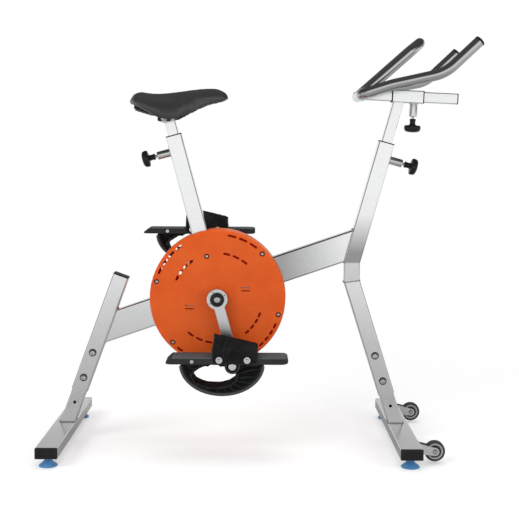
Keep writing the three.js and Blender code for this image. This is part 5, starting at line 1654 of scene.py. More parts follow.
@dataclass
class Housing:
    """Two dished covers round the crank, with slots, drains and through screws."""

    layout: Layout
    face: float = 0.193
    rim: float = 0.195
    half: float = 0.058
    skin: float = 0.003
    edge: float = 0.007
    hole: float = 0.024
    seam: float = 0.0005
    slot_wide: float = 0.0068
    outer_slots: float = 0.181
    inner_slots: float = 0.128
    bolt_circle: float = 0.179
    bolt_inner: float = 0.123
    bolt_angles: tuple[float, ...] = (45, 165, 225, 285, 345)
    seat_bolt_angle: float = 104.5
    boss: float = 0.0095
    bore: float = 0.0074
    bore_depth: float = 0.0045
    notch_gap: float = 0.003
    bridge_share: float = 0.24
    drain_angles: tuple[float, ...] = (18, 198)
    drain_circle: float = 0.084
    drain_rise: float = 0.0045
    drain_half: tuple[float, float] = (0.013, 0.0015)
    # Rows of slots that stay see-through, and the thickness of the dark strips that close the others as a
    # painted shade
    open_rows: tuple[float, ...] = (124, 123)
    liner: float = 0.001

    def arcs(self) -> list[tuple[float, float, int, float]]:
        """Returns each row of slots: first and last angle, count and radius."""
        outer, inner = self.outer_slots, self.inner_slots
        return [
            (52, 81, 3, outer), (49, 83, 3, inner), (124, 158, 4, outer), (123, 157, 4, inner),
            (231, 262, 4, outer), (229, 264, 3, inner), (311, 337, 4, outer), (308, 342, 4, inner),
        ]

    def bolts(self) -> list[tuple[float, float, float]]:
        """Returns each bolt's circle and its x and z from the hub."""
        rows = [(self.bolt_circle, a) for a in self.bolt_angles] + [(self.bolt_inner, self.seat_bolt_angle)]
        return [(r, r * cos(a), r * sin(a)) for r, a in rows]

    def dash(self, radius: float, start: float, end: float) -> Ring:
        """Returns the outline of one curved slot with round ends."""
        half = self.slot_wide / 2
        ease = math.degrees(half / radius)
        low, high = start + ease, end - ease
        first = arc(radius * cos(high), radius * sin(high), half, high, high + 180, 8)
        last = arc(radius * cos(low), radius * sin(low), half, low + 180, low + 360, 8)
        outer, inner = arc(0, 0, radius + half, low, high, 8), arc(0, 0, radius - half, high, low, 8)
        return [*outer, *first[1:-1], *inner, *last[1:-1]]

    def openings(self) -> Shape:
        """Returns the cutters for slots, drains and screw recesses on the +Y cover."""
        shapes = []
        deep = self.skin + 2 * OVERRUN
        middle = self.half - self.skin / 2
        for start, end, count, radius in self.arcs():
            pitch = (end - start) / (count - self.bridge_share)
            for i in range(count):
                first = start + i * pitch
                outline = self.dash(radius, first, first + pitch * (1 - self.bridge_share))
                shapes.append(plate(outline, deep).at(0, middle, 0))
        long, wide = self.drain_half
        ends = arc(long - wide, 0, wide, -90, 90, 8) + arc(wide - long, 0, wide, 90, 270, 8)
        for angle in self.drain_angles:
            for row in (-1, 1):
                x, z = self.drain_circle * cos(angle), self.drain_circle * sin(angle) + row * self.drain_rise
                shapes.append(plate(ends, deep).at(x, middle, z))
        for _, x, z in self.bolts():
            recess = rod(self.bore, -self.bore_depth, self.bore_depth).turned(-90, "X")
            shapes.append(recess.at(x, self.half, z))
        return joined(*shapes)

    def cover(self) -> Shape:
        """Returns the left cover round the hub."""
        edge, skin = self.edge, self.skin
        outer = arc(self.face - edge, self.half - edge, edge, 90, 0, 8)
        inner = arc(self.face - edge, self.half - edge, edge - skin, 0, 90, 6)
        hole, chamfer = self.hole, 0.0008
        section = [
            (hole, self.half - chamfer), (hole + chamfer, self.half), *outer, (self.rim - 0.0004, 0.0012),
            (self.rim, self.seam), (self.rim - skin, self.seam), *inner, (hole, self.half - skin),
        ]
        dish = revolved(section, 180).turned(-90, "X")
        layout = self.layout
        beam = slab(3 * self.rim, 2 * (BEAM.wide / 2 + self.notch_gap), BEAM.tall + 2 * self.notch_gap)
        beam = beam.at(0, 0, layout.beam_over).turned(-layout.beam_slope, "Y")
        tube_size, long = SQUARE_LEG.tall + 2 * self.notch_gap, 0.44
        seat = slab(tube_size, tube_size, long).at(0, 0, -long / 2).turned(-layout.seat_lean, "Y")
        seat = seat.at(-layout.seat_back, 0, layout.seat_height - layout.hub.z)
        dish = carved(dish, self.openings(), beam, seat)
        posts = []
        for radius, x, z in self.bolts():
            foot = SQUARE_LEG.tall / 2 + GAP if radius == self.bolt_inner else self.seam
            top = self.half - self.bore_depth
            section = ring_section(0.0033, self.boss, foot, top, 0.0004)
            posts.append(revolved(section, 32).turned(-90, "X").at(x, 0, z))
        return joined(dish, *posts)

    def shade_strips(self) -> Shape:
        """Returns the thin dark strips behind the slots where nothing shows through: a painted shade of the
        covers' inside.
        """
        half, level = self.slot_wide, self.half - self.skin - self.liner
        strips = []
        for start, end, _, radius in self.arcs():
            if start not in self.open_rows:
                outer = arc(0, 0, radius + half, start - 1, end + 1)
                ring = [*outer, *arc(0, 0, radius - half, end + 1, start - 1)]
                strips.append(plate(ring, self.liner).at(0, level, 0))
        return joined(*strips)

    def build(self) -> None:
        """Builds both covers and the screws that hold them."""
        hub = self.layout.hub
        left = self.cover()
        for side, hand in HANDS.items():
            shell = left.handed(hand).at(*hub)
            add(f"{side}_cover_shell", shell, "frame", ORANGE, [f"{side}_cover"], flat=True)
            # Dark strips behind the closed slots, a painted shade
            add(f"{side}_slot_liners", self.shade_strips().handed(hand).at(*hub), "frame", SLOT_SHADE)
        seat = self.half - self.bore_depth + GAP
        head = button_head(0.0052, 0.003, 0.0021, 0.0018).at(0, 0, seat + 0.0003)
        template = joined(rod(0.003, -seat, seat, sides=24), head, head.turned(180, "X"))
        places = [(hub + Vector((x, 0, z)), (90.0, 0.0, 0.0)) for _, x, z in self.bolts()]
        bolts = [f"cover_bolt_{i + 1}" for i in range(len(places))]
        placed("cover_screws", places, template, "frame", BOLT, bolts)
        ring = washer(0.0031, self.bore - 0.0003, 0.0006)
        seals = joined(ring.at(0, 0, seat - GAP), ring.turned(180, "X").at(0, 0, GAP - seat))
        placed("cover_screw_seals", places, seals, "frame", BLACK)


@dataclass
class Crankset:
    """Crank arms with bosses, caps and bolts, and the pedal axles."""

    layout: Layout
    head: float = 0.0295
    arm: float = 0.030
    eye: float = 0.017
    thick: float = 0.012
    mid: float = 0.080
    boss: float = 0.019
    boss_depth: float = 0.008
    cap_radius: float = 0.0198
    cap_bore: float = 0.0118
    cap_height: float = 0.0086
    cap_floor: float = 0.0024
    dot_circle: float = 0.0238
    nut: float = 0.0104
    plate_half: float = 0.048
    hood_skin: float = 0.0032

    def build(self) -> None:
        """Builds both cranks."""
        arm, axle, cap, nut = self.arm_shape(), self.axle_shape(), self.cap_shape(), self.nut_shape()
        bolt, dots = self.bolt_shape(), self.dots_shape()
        for side, hand in HANDS.items():
            spot = self.layout.crank(hand)
            steel_along = leaning_steel(-self.layout.crank_forward)
            brushed = replace(steel_along, name=f"{side}_crank_steel", gloss=0.34, shade=(0.7, 0.705, 0.71))
            add(f"{side}_crank_arm", arm.fit(hand, spot), "crankset", brushed, [f"{side}_crank"], flat=True)
            add(f"{side}_crank_dots", dots.fit(hand, spot), "crankset", KNOB)
            add(f"{side}_pedal_axle", axle.fit(hand, spot), "crankset", BOLT)
            add(f"{side}_pedal_nut", nut.fit(hand, spot), "crankset", ZINC)
            add(f"{side}_crank_ring", cap.fit(hand, spot), "crankset", KNOB, [f"{side}_crank_cap"])
            add(f"{side}_crank_bolt", bolt.fit(hand, spot), "crankset", BOLT)

    def arm_shape(self) -> Shape:
        """Returns the left crank arm, hanging along -Z, with its boss behind."""
        half, length = self.arm / 2, self.layout.crank_length
        head_angle = math.degrees(math.asin(half / self.head))
        eye_angle = math.degrees(math.asin(half / self.eye))
        outline = arc(0, 0, self.head, head_angle - 90, 270 - head_angle, 64)
        outline += arc(0, -length, self.eye, 90 + eye_angle, 450 - eye_angle, 40)
        blade = eased(plate(outline, self.thick), 0.0012, 3).at(0, self.mid, 0)
        back = rod(self.boss, self.mid - self.thick / 2 - self.boss_depth, self.mid - self.thick / 2, 0.0008)
        return joined(blade, back.turned(-90, "X"))

    def dots_shape(self) -> Shape:
        """Returns the three small plugs round the crank's head."""
        face = self.mid + self.thick / 2
        plug = rod(0.0017, -0.001, 0.0003, 0.0002, 20).turned(-90, "X")
        angles = [step + self.layout.crank_forward for step in (0, 90, 180)]
        places = [(self.dot_circle * cos(a), self.dot_circle * sin(a)) for a in angles]
        return joined(*(plug.at(x, face, z) for x, z in places))

    def axle_shape(self) -> Shape:
        """Returns the pedal axle with its collar and flatted end."""
        shaft = rod(0.0075, self.mid, self.layout.pedal_mid + 0.049, 0.0008)
        collar_end = self.layout.pedal_mid - self.plate_half - self.hood_skin - 2 * GAP
        collar = rod(0.011, self.mid + self.thick / 2, collar_end, 0.001)
        return joined(shaft, collar).turned(-90, "X").at(0, 0, -self.layout.crank_length)

    def nut_shape(self) -> Shape:
        """Returns the pedal axle's end: a disc that is flat above, with a well of the same form."""
        face = self.layout.pedal_mid + self.plate_half
        disc = rod(self.nut, face + GAP, face + 0.0030, 0.0005)
        sunk = rod(self.nut * 0.66, face + 0.0016, face + 0.006)
        nut, well = carved(disc, self.above(0.52, face)), carved(sunk, self.above(0.28, face))
        return carved(nut, well).turned(-90, "X").at(0, 0, -self.layout.crank_length)

    def above(self, rise: float, face: float) -> Shape:
        """Returns the cutter for what lies above a share of the nut's radius."""
        half = self.nut * 2
        flat = slab(2 * half, half, half).at(0, -self.nut * rise - half / 2, face)
        return flat.turned(self.layout.crank_forward, "Z")

    def cap_shape(self) -> Shape:
        """Returns the black ring on the crank's outer face."""
        face = self.mid + self.thick / 2 + GAP
        top = face + self.cap_height
        bore, rim = self.cap_bore, self.cap_radius
        section = [
            (bore, face), (rim, face), (rim, top - 0.0016), (rim - 0.0012, top - 0.0004), (rim - 0.0024, top),
            (bore + 0.0014, top), (bore + 0.0004, top - 0.0006), (bore, top - 0.002),
        ]
        return revolved(section, 96).turned(-90, "X")

    def bolt_shape(self) -> Shape:
        """Returns the crank bolt, seen inside the ring."""
        floor = self.mid + self.thick / 2 + GAP + self.cap_floor
        head = button_head(0.0112, 0.0044, 0.0048, 0.0034).at(0, 0, floor)
        seat = rod(self.cap_bore - 0.0001, floor - self.cap_floor, floor, 0.0003)
        return joined(head, seat, rod(0.005, floor - 0.020, floor)).turned(-90, "X")


@dataclass
class Pedals:
    """Foot plates with ribs on sleeves, cloth hoods above and padded loops below."""

    layout: Layout
    heel: float = 0.182
    toe: float = 0.152
    width: float = 0.096
    thick: float = 0.015
    corner: float = 0.016
    edge: float = 0.003
    over: float = 0.005
    sleeve: float = 0.016
    flange: float = 0.021
    flange_thick: float = 0.006
    rib_pitch: float = 0.0075
    hood_back: float = 0.055
    hood_front: float = 0.067
    hood_skin: float = 0.0032
    hood_tab: float = 0.009
    hood_swell: float = 0.0030
    hood_pressure: float = 3.0
    nut_room: float = 0.0118
    rear_rise: float = 0.062
    front_rise: float = 0.032
    loop_width: float = 0.086
    loop_back: float = 0.145
    loop_front: float = 0.088
    loop_drop: float = 0.083
    loop_edge: float = 0.007
    loop_shrink: float = 0.0016
    loop_voxel: float = 0.0045
    loop_swell: float = 0.0030
    loop_sewn: float = -0.004
    loop_dish: float = 0.0064
    pleats: int = 11
    pleat_depth: float = 0.0036
    rib_inset: float = 0.020
    mat_inset: float = 0.003
    bore: float = 0.0079
    hole_back: float = 0.108
    hole_front: float = 0.009
    hole_top: float = 0.001
    hole_bottom: float = 0.061
    heel_slope: float = 0.014
    heel_lip: float = 0.004
    toe_round: float = 0.006
    toe_start: float = 0.10
    screws: tuple[float, ...] = (-0.036, 0.040)
    rear_screw: float = -0.110
    screw_level: float = 0.0175

    def build(self) -> None:
        """Builds both pedals."""
        platform, hood, loop = self.platform(), self.hood(), self.loop()
        piping, mat = self.piping(), self.mat()
        for side, hand in HANDS.items():
            spot = self.layout.pedal(hand)
            node, body = f"{side}_pedal", f"{side}_pedal_body"
            add(f"{side}_foot_plate", platform.fit(hand, spot), body, TREAD, [node], flat=True)
            add(f"{side}_tread_mat", mat.fit(hand, spot), body, GRIP)
            self.ribs(side, spot, body)
            arch, band = hood.fit(hand, spot), loop.fit(hand, spot)
            cloth = add(f"{side}_instep_hood", arch, body, CLOTH, [f"{node}_hood"], sharp=60)
            pad = add(f"{side}_heel_loop", band, body, LOOP_CLOTH, [f"{node}_loop"], sharp=60)
            add(f"{side}_loop_piping", piping.fit(hand, spot), body, PIPING)
            self.fasten(side, spot, body)

    def platform(self) -> Shape:
        """Returns the foot plate with its sloped heel, its sleeve and its end flange."""
        half, corner = self.width / 2, self.corner
        heel, toe = -self.heel, self.toe
        front, back, side = toe - corner, heel + corner, half - corner
        middles = ((front, side), (back, side), (back, -half + corner), (front, -half + corner))
        corners = [arc(x, y, corner, 90 * i, 90 * i + 90, 10) for i, (x, y) in enumerate(middles)]
        outline = [at for bend in corners for at in bend]
        levels = [self.over + self.thick * (1 - cos(a)) / 2 for a in range(0, 181, 15)]
        rings = [[Vector((x - self.blunt(x, z), y, z)) for x, y in outline] for z in levels]
        slope = math.degrees(math.atan2(self.thick - self.heel_lip, self.heel_slope))
        wedge = slab(0.06, self.width + 0.01, 0.02).at(0, 0, 0.01).turned(-slope, "Y")
        board = carved(skin(rings), wedge.at(heel, 0, self.over + self.heel_lip))
        board = eased(board, self.edge * 0.8, 4, 30)
        tube = revolved(ring_section(self.bore, self.sleeve, -half, half, 0.001), 64)
        flange = revolved(ring_section(self.bore, self.flange, half - self.flange_thick, half, 0.0016), 72)
        inner, outer = self.flange - 0.0042, self.flange - 0.0030
        groove = revolved(ring_section(inner, outer, half - 0.0006, half + 0.001, 0.0002), 72)
        return joined(board, carved(joined(tube, flange), groove).turned(-90, "X"))

    def blunt(self, x: float, z: float) -> float:
        """Returns how far the plate's rim is drawn back at a place, which rounds the toe."""
        level = 2 * (z - self.over) / self.thick - 1
        back = self.toe_round * (1 - math.sqrt(max(0.0, 1 - level**4)))
        return back * ramp(x, self.toe_start, self.toe)

    def ribs(self, side: str, spot: Matrix, body: str) -> None:
        """Sets the grip ribs across the plate."""
        inset, high = self.rib_inset, self.over + self.thick + 0.0008
        span = self.heel + self.toe - 2 * inset
        count = int(span / self.rib_pitch)
        rib = eased(slab(0.0030, self.width - 0.016, 0.0012), 0.0004, 1)
        along = [-self.heel + inset + (i + 0.5) * span / count for i in range(count)]
        places = [(spot @ Vector((x, 0, high)), (0.0, 0.0, 0.0)) for x in along]
        placed(f"{side}_grip_ribs", places, rib, body, GRIP)

    def mat(self) -> Shape:
        """Returns the thin grip mat on the plate's top."""
        inset, corner = self.mat_inset, self.corner - self.mat_inset
        half, toe = self.width / 2 - inset, self.toe - inset
        heel = -self.heel + self.heel_slope + inset
        outline = [
            *arc(toe - corner, half - corner, corner, 0, 90, 8), (heel, half), (heel, -half),
            *arc(toe - corner, -half + corner, corner, 270, 360, 8),
        ]
        top = self.over + self.thick
        floor, crown = ([Vector((x, y, z)) for x, y in outline] for z in (top - 0.001, top + 0.0006))
        return eased(skin([floor, crown]), 0.0004, 2)

    def fasten(self, side: str, spot: Matrix, body: str) -> None:
        """Sets the washered screws through the hood's sides and the small ones behind them."""
        out = self.width / 2 + GAP + self.hood_skin + 0.0006
        head = button_head(0.0050, 0.0026, 0.0022, 0.0016).at(0, 0, 0.0012)
        large = joined(washer(0.003, 0.0090, 0.0012), head)
        head = button_head(0.0030, 0.0018, 0.0013, 0.001).at(0, 0, 0.0008)
        small = joined(washer(0.002, 0.0048, 0.0008), head)
        edge, level = self.width / 2 - 0.0002, self.over + self.thick / 2
        for name, screw, row, wide, high in (
            ("hood", large, self.screws, out, self.screw_level),
            ("plate", small, (self.rear_screw,), edge, level),
        ):
            ways = [(x, way) for x in row for way in (-1, 1)]
            places = [(spot @ Vector((x, way * wide, high)), (-90.0 * way, 0.0, 0.0)) for x, way in ways]
            placed(f"{side}_{name}_screws", places, screw, body, ZINC)

    def arch(self, half: float, rise: float, low: float) -> Ring:
        """Returns an arch over the plate from its left hem to its right one.

        Args:
            half: half its width.
            rise: its height over the plate's top.
            low: where the hems end.
        Returns:
            Places across and up.
        """
        top = self.over + self.thick
        bow = [(half * cos(a), top + rise * sin(a)) for a in range(0, 181, 5)]
        foot = [(half, low + (top - low) * k / 4) for k in range(4)]
        return [*foot, *bow, *((-y, z) for y, z in reversed(foot))]

    def hood(self) -> Shape:
        """Returns the cloth hood: a padded arch over the plate that slopes down to the toes."""
        top = self.over + self.thick
        outer = self.width / 2 + GAP + self.hood_skin - 0.0006
        low = self.hood_tab - 0.003
        steps = 34
        rows = []
        for i in range(steps + 1):
            share = i / steps
            rise = self.rear_rise + share * (self.front_rise - self.rear_rise) + 0.003 * (1 - share)
            arch = self.arch(outer, rise, low)
            rows.append([self.over_nut(self.opening(share, y, z), y, z) for y, z in arch])
        across = len(rows[0])
        faces = [
            (i * across + j, i * across + j + 1, (i + 1) * across + j + 1, (i + 1) * across + j)
            for i in range(steps) for j in range(across - 1)
        ]
        sheet = Shape([p for row in rows for p in row], faces)
        drape = draped(sheet, self.hood_swell, lambda p: p.z < top + 0.001, self.hood_pressure)
        return quilted(pressed(drape, self.wrinkle), self.hood_skin - 0.0006)

    def over_nut(self, x: float, y: float, z: float) -> Vector:
        """Returns a place of the hood, whose outer hem rises over the axle nut that turns below it."""
        low, top = self.hood_tab - 0.003, self.over + self.thick
        rise = math.sqrt(max(self.nut_room ** 2 - x * x, 0.0)) - low
        lift = max(rise, 0.0) * (1 - ramp(z, low, top)) if y > 0 else 0.0
        return Vector((x, y, z + lift))

    def opening(self, share: float, y: float, z: float) -> float:
        """Returns a place along the hood, whose two openings curve back towards the crest and the hems."""
        wave = 0.0016 * noise.noise(Vector((y * 30, z * 40, 2.0 + share)))
        crest, hem = ramp(z, 0.045, 0.082), 1 - ramp(z, 0.006, 0.018)
        back = -self.hood_back - 0.001 + 0.006 * crest + 0.005 * hem + wave
        front = self.hood_front + 0.003 * (1 - crest) - 0.006 * hem + wave
        return back + share * (front - back)

    def wrinkle(self, at: Vector, _normal: Vector) -> float:
        """Returns how far the hood's cloth is creased at a place."""
        level = at.z - self.over - self.thick
        side = ramp(abs(at.y), 0.026, 0.042)
        drape = noise.noise(Vector((at.x * 55 - at.z * 40, at.y * 14, at.z * 20 + 7.7)))
        gather = noise.noise(Vector((at.x * 22, at.y * 12, at.z * 95 + 3.1)))
        crease = -abs(drape) * 0.0026 * ramp(level, -0.004, 0.02)
        pulled = gather * 0.0015 * side * (1 - ramp(level, 0.004, 0.022))
        bend = math.exp(-(((at.x + 0.030 - level * 0.55) / 0.0045) ** 2))
        return crease + pulled - bend * 0.0022 * side * ramp(level, 0.004, 0.014)

    def loop_outline(self, shrink: float = 0.0, steps: int = 60) -> Ring:
        """Returns the loop's half oval, drawn in by a margin."""
        middle = (self.loop_front - self.loop_back) / 2
        reach = (self.loop_front + self.loop_back) / 2 - shrink
        top = self.over - GAP
        drop = self.loop_drop + top - shrink
        angles = [180 + 180 * i / steps for i in range(steps + 1)]
        return [(middle + reach * cos(a), top + drop * sin(a)) for a in angles]

    def loop(self) -> Shape:
        """Returns the padded loop under the plate, dished and gathered round its foot way."""
        shrink = self.loop_shrink
        band = eased(plate(self.loop_outline(shrink), self.loop_width - 2 * shrink), self.loop_edge, 3, 60)
        way = plate(self.hole_outline(shrink), self.loop_width + 2 * OVERRUN)
        cut = carved(band, way)
        swollen = puffed(cut, self.loop_voxel, self.loop_swell, lambda p: p.z > self.loop_sewn)
        return fitted(pressed(swollen, self.gather), self.clear)

    def depth_in(self, at: Vector) -> float:
        """Returns how far inside the loop's outer rim a place lies, as a share of its size."""
        middle = (self.loop_front - self.loop_back) / 2
        reach = (self.loop_front + self.loop_back) / 2
        return 1 - math.hypot((at.x - middle) / reach, (at.z - self.over) / (self.loop_drop + self.over))

    def gather(self, at: Vector, normal: Vector) -> float:
        """Returns how far the loop's faces are dished and pleated at a place."""
        middle = (self.hole_front - self.hole_back) / 2
        angle = math.atan2(at.z + 0.031, (at.x - middle) * 0.6)
        inside = ramp(self.depth_in(at), 0.07, 0.20)
        side = ramp(abs(normal.y), 0.35, 0.8)
        waver = noise.noise(Vector((at.x * 30, at.y * 30, at.z * 30))) * 1.5
        fold = 1 - 2 * abs(math.sin(angle * self.pleats + waver / 2)) ** 0.7
        pleat = fold * (0.35 + 0.65 * ramp(at.x, -0.07, 0.0))
        fine = noise.noise(Vector((at.x * 90, at.y * 40, at.z * 90)))
        return side * inside * (self.pleat_depth * pleat - self.loop_dish) + fine * 0.0004

    def clear(self, at: Vector) -> Vector:
        """Returns a place of the loop, kept off the plate, the sleeve and the flange."""
        outside = at.y > self.width / 2 - self.flange_thick - 2 * GAP
        bore = (self.flange if outside else self.sleeve) + GAP
        away = math.hypot(at.x, at.z)
        if away < bore:
            at.x, at.z = at.x * bore / max(away, 1e-6), at.z * bore / max(away, 1e-6)
        at.z = min(at.z, self.over - GAP)
        return at

    def hole_outline(self, grow: float) -> Ring:
        """Returns the foot way's oval, grown by a margin."""
        reach = (self.hole_front + self.hole_back) / 2 + grow
        middle = (self.hole_front - self.hole_back) / 2
        drop = (self.hole_bottom - self.hole_top) / 2 + grow
        level = -self.hole_top - drop + grow
        return [(middle + reach * cos(a), level + drop * sin(a)) for a in [360 * i / 72 for i in range(72)]]

    def piping(self) -> Shape:
        """Returns the rolled rims of the loop."""
        beads, inset = [], 0.0042
        for y in (-1, 1):
            side = y * (self.loop_width / 2 - inset)
            path = [Vector((x, side, z)) for x, z in self.loop_outline(inset, 90)]
            beads.append(Sweep(path[2:-2], Y).bar(circle(0.0044, 16)))
        return joined(*beads)


@dataclass
class Seat:
    """Seat post, clamp, rails and saddle."""

    layout: Layout
    pins: Pins
    length: float = 0.287
    width: float = 0.190
    height: float = 0.092
    tail_back: float = 0.103
    drop: float = 0.007
    stations: tuple[tuple[float, ...], ...] = (
        (0.012, 0.24, 0.63, 0.52, 0.56), (0.05, 0.62, 0.78, 0.45, 0.54), (0.11, 0.88, 0.85, 0.37, 0.48),
        (0.2, 1.0, 0.81, 0.23, 0.42), (0.3, 0.98, 0.79, 0.08, 0.4), (0.41, 0.78, 0.82, 0.02, 0.4),
        (0.52, 0.55, 0.87, 0.1, 0.42), (0.64, 0.41, 0.93, 0.26, 0.46), (0.77, 0.35, 0.98, 0.45, 0.55),
        (0.88, 0.31, 0.99, 0.55, 0.61), (0.96, 0.24, 0.88, 0.62, 0.66), (0.992, 0.12, 0.76, 0.66, 0.68),
    )
    half_shares: tuple[tuple[float, float], ...] = (
        (0.0, 0.955), (0.16, 0.98), (0.36, 1.0), (0.6, 0.93), (0.82, 0.76), (0.96, 0.5), (1.0, 0.24),
        (0.93, 0.05), (0.82, 0.0),
    )
    shrink: float = 0.0012
    voxel: float = 0.004
    swell: float = 0.0034
    rail_spacing: float = 0.044
    rail_rise: float = 0.011
    hem: float = 0.004

    def build(self) -> None:
        """Builds the post, clamp, rails, saddle and the seat's pull pin."""
        layout = self.layout
        spot = layout.seat()
        top = layout.bush_flange + layout.post_shown
        post = SQUARE_POST.along(upright(-POST_HIDDEN, top)).moved(spot)
        brushed = leaning_steel(-layout.seat_lean)
        add("seat_post_tube", post, "seat_post_body", brushed, ["seat_post"], flat=True)
        barrel = rod(0.014, -0.016, 0.016, 0.001).turned(90, "X")
        barrel = barrel.at(-layout.clamp_back, 0, top + layout.clamp_rise)
        block = eased(slab(0.030, 0.0314, 0.014), 0.002, 3).at(0, 0, top)
        add("seat_post_head", joined(barrel, block).moved(spot), "seat_post_body", BOLT)
        pin_spot = self.pins.beside(spot, -90)
        self.pins.pin("seat_pin", pin_spot, SQUARE_LEG.tall / 2, SQUARE_POST.tall / 2)
        self.clamp(layout.saddle())
        self.rails(layout.saddle())
        self.saddle(layout.saddle())

    def clamp(self, spot: Matrix) -> None:
        """Builds the cross bolt and the two cheeks that hold the rails."""
        inner, thick = 0.016 + GAP, 0.010
        cheek = eased(slab(0.038, thick, 0.026), 0.003, 3)
        middle, rise = inner + thick / 2, 0.004
        groove = rod(0.0038, -0.03, 0.03).turned(90, "Y")
        groove = groove.at(0, self.rail_spacing / 2 - inner - thick / 2, self.rail_rise - rise)
        cheek = carved(cheek, groove).at(0, middle, rise)
        cheeks = [cheek.handed(hand) for hand in HANDS.values()]
        add("rail_clamp", joined(*cheeks).moved(spot), "saddle_body", BLACK, ["saddle_clamp"], flat=True)
        outer, seat = inner + thick, 0.0012
        head = joined(washer(0.005, 0.0095, seat), button_head(0.0082, 0.0042, 0.0032, 0.0026).at(0, 0, seat))
        bolt = joined(
            rod(0.005, -outer, outer).turned(90, "X"),
            *(head.turned(90 * y, "X").at(0, -y * outer, 0) for y in (-1, 1)),
        )
        add("clamp_bolt", bolt.moved(spot), "saddle_body", BOLT)

    def wire(self) -> list[Vector]:
        """Returns the rail's path from tail to nose and back."""
        half, reach, rise = self.rail_spacing / 2, 0.038, self.rail_rise
        side = [
            Vector((-0.082, half * 1.25, 0.024)), Vector((-reach, half, rise)), Vector((reach, half, rise)),
            Vector((0.124, half * 0.55, 0.042)),
        ]
        corners = [*side, *(Vector((p.x, -p.y, p.z)) for p in reversed(side))]
        return bent_path(corners, [0.018, 0.018, 0.009, 0.009, 0.018, 0.018], 8)

    def rails(self, spot: Matrix) -> None:
        """Builds the bent rail wire."""
        wire = Sweep(self.wire(), Z).bar(circle(0.0035, 20))
        add("rail_wire", wire.moved(spot), "saddle_body", RAIL, ["saddle_rails"])

    def form(self, shrink: float) -> Shape:
        """Returns the saddle's form, drawn in by a margin."""
        rings = []
        steps = 46
        for step in range(steps + 1):
            along, wide, top, skirt, hollow = smooth_row(self.stations, step / steps)
            half = max(wide * self.width / 2 - shrink, 0.004)
            hem = self.hem * (1 - min(1.0, skirt / 0.5))
            low, high = skirt * self.height - hem, top * self.height - shrink
            under = max(hollow * self.height, low + GAP)
            side = [(out * half, low + up * (high - low)) for out, up in fine_ring(self.half_shares)]
            side += [(0.66 * half, low + 0.7 * (under - low)), (0.34 * half, under)]
            mirrored = [(-y, z) for y, z in reversed(side[1:])]
            x = min(max(along * self.length, shrink), self.length - shrink)
            rings.append([Vector((x, y, z)) for y, z in [*side, *mirrored]])
        return skin(rings).at(-self.tail_back, 0, -self.drop)

    def under(self, x: float) -> float:
        """Returns the underside's height at a place along the saddle."""
        share = min(1.0, max(0.0, (x + self.tail_back) / self.length))
        rows = self.stations
        for a, b in zip(rows, rows[1:]):
            if a[0] <= share <= b[0]:
                part = (share - a[0]) / (b[0] - a[0])
                return (a[4] + part * (b[4] - a[4])) * self.height - self.drop
        return rows[-1][4] * self.height - self.drop

    def seated(self, at: Vector) -> bool:
        """Tells whether a place lies in the middle of the underside, which the base holds."""
        return abs(at.y) < 0.020 and at.z < self.under(at.x) + 0.004

    def saddle(self, spot: Matrix) -> None:
        """Builds the padded saddle and the moulded base below it."""
        form = self.form(self.shrink)
        swollen = puffed(form, self.voxel, self.swell, self.seated)
        cushion = add("saddle_pad", swollen.moved(spot), "saddle_body", COVERING, ["saddle"], sharp=70)
        guard = eased(slab(0.030, 0.088, 0.014), 0.004, 3).turned(10, "Y").at(-0.069, 0, 0.029)
        nose = eased(slab(0.030, 0.030, 0.014), 0.004, 3).turned(-6, "Y").at(0.122, 0, 0.046)
        add("saddle_base", joined(guard, nose).moved(spot), "saddle_body", BLACK)


def smooth_row(rows: Sequence[Sequence[float]], share: float) -> list[float]:
    """Returns a row of values between given rows, on a smooth curve through them."""
    at = share * (len(rows) - 1)
    i = min(int(at), len(rows) - 2)
    t = at - i
    before, start = rows[max(i - 1, 0)], rows[i]
    end, after = rows[i + 1], rows[min(i + 2, len(rows) - 1)]
    result = []
    for a, b, c, d in zip(before, start, end, after):
        result.append(b + 0.5 * t * (c - a + t * (2 * a - 5 * b + 4 * c - d + t * (3 * (b - c) + d - a))))
    return result


def fine_ring(rows: Profile, steps: int = 3) -> Ring:
    """Returns places along a smooth curve through the given ones."""
    count = (len(rows) - 1) * steps
    return [tuple(smooth_row(rows, i / count)) for i in range(count + 1)]


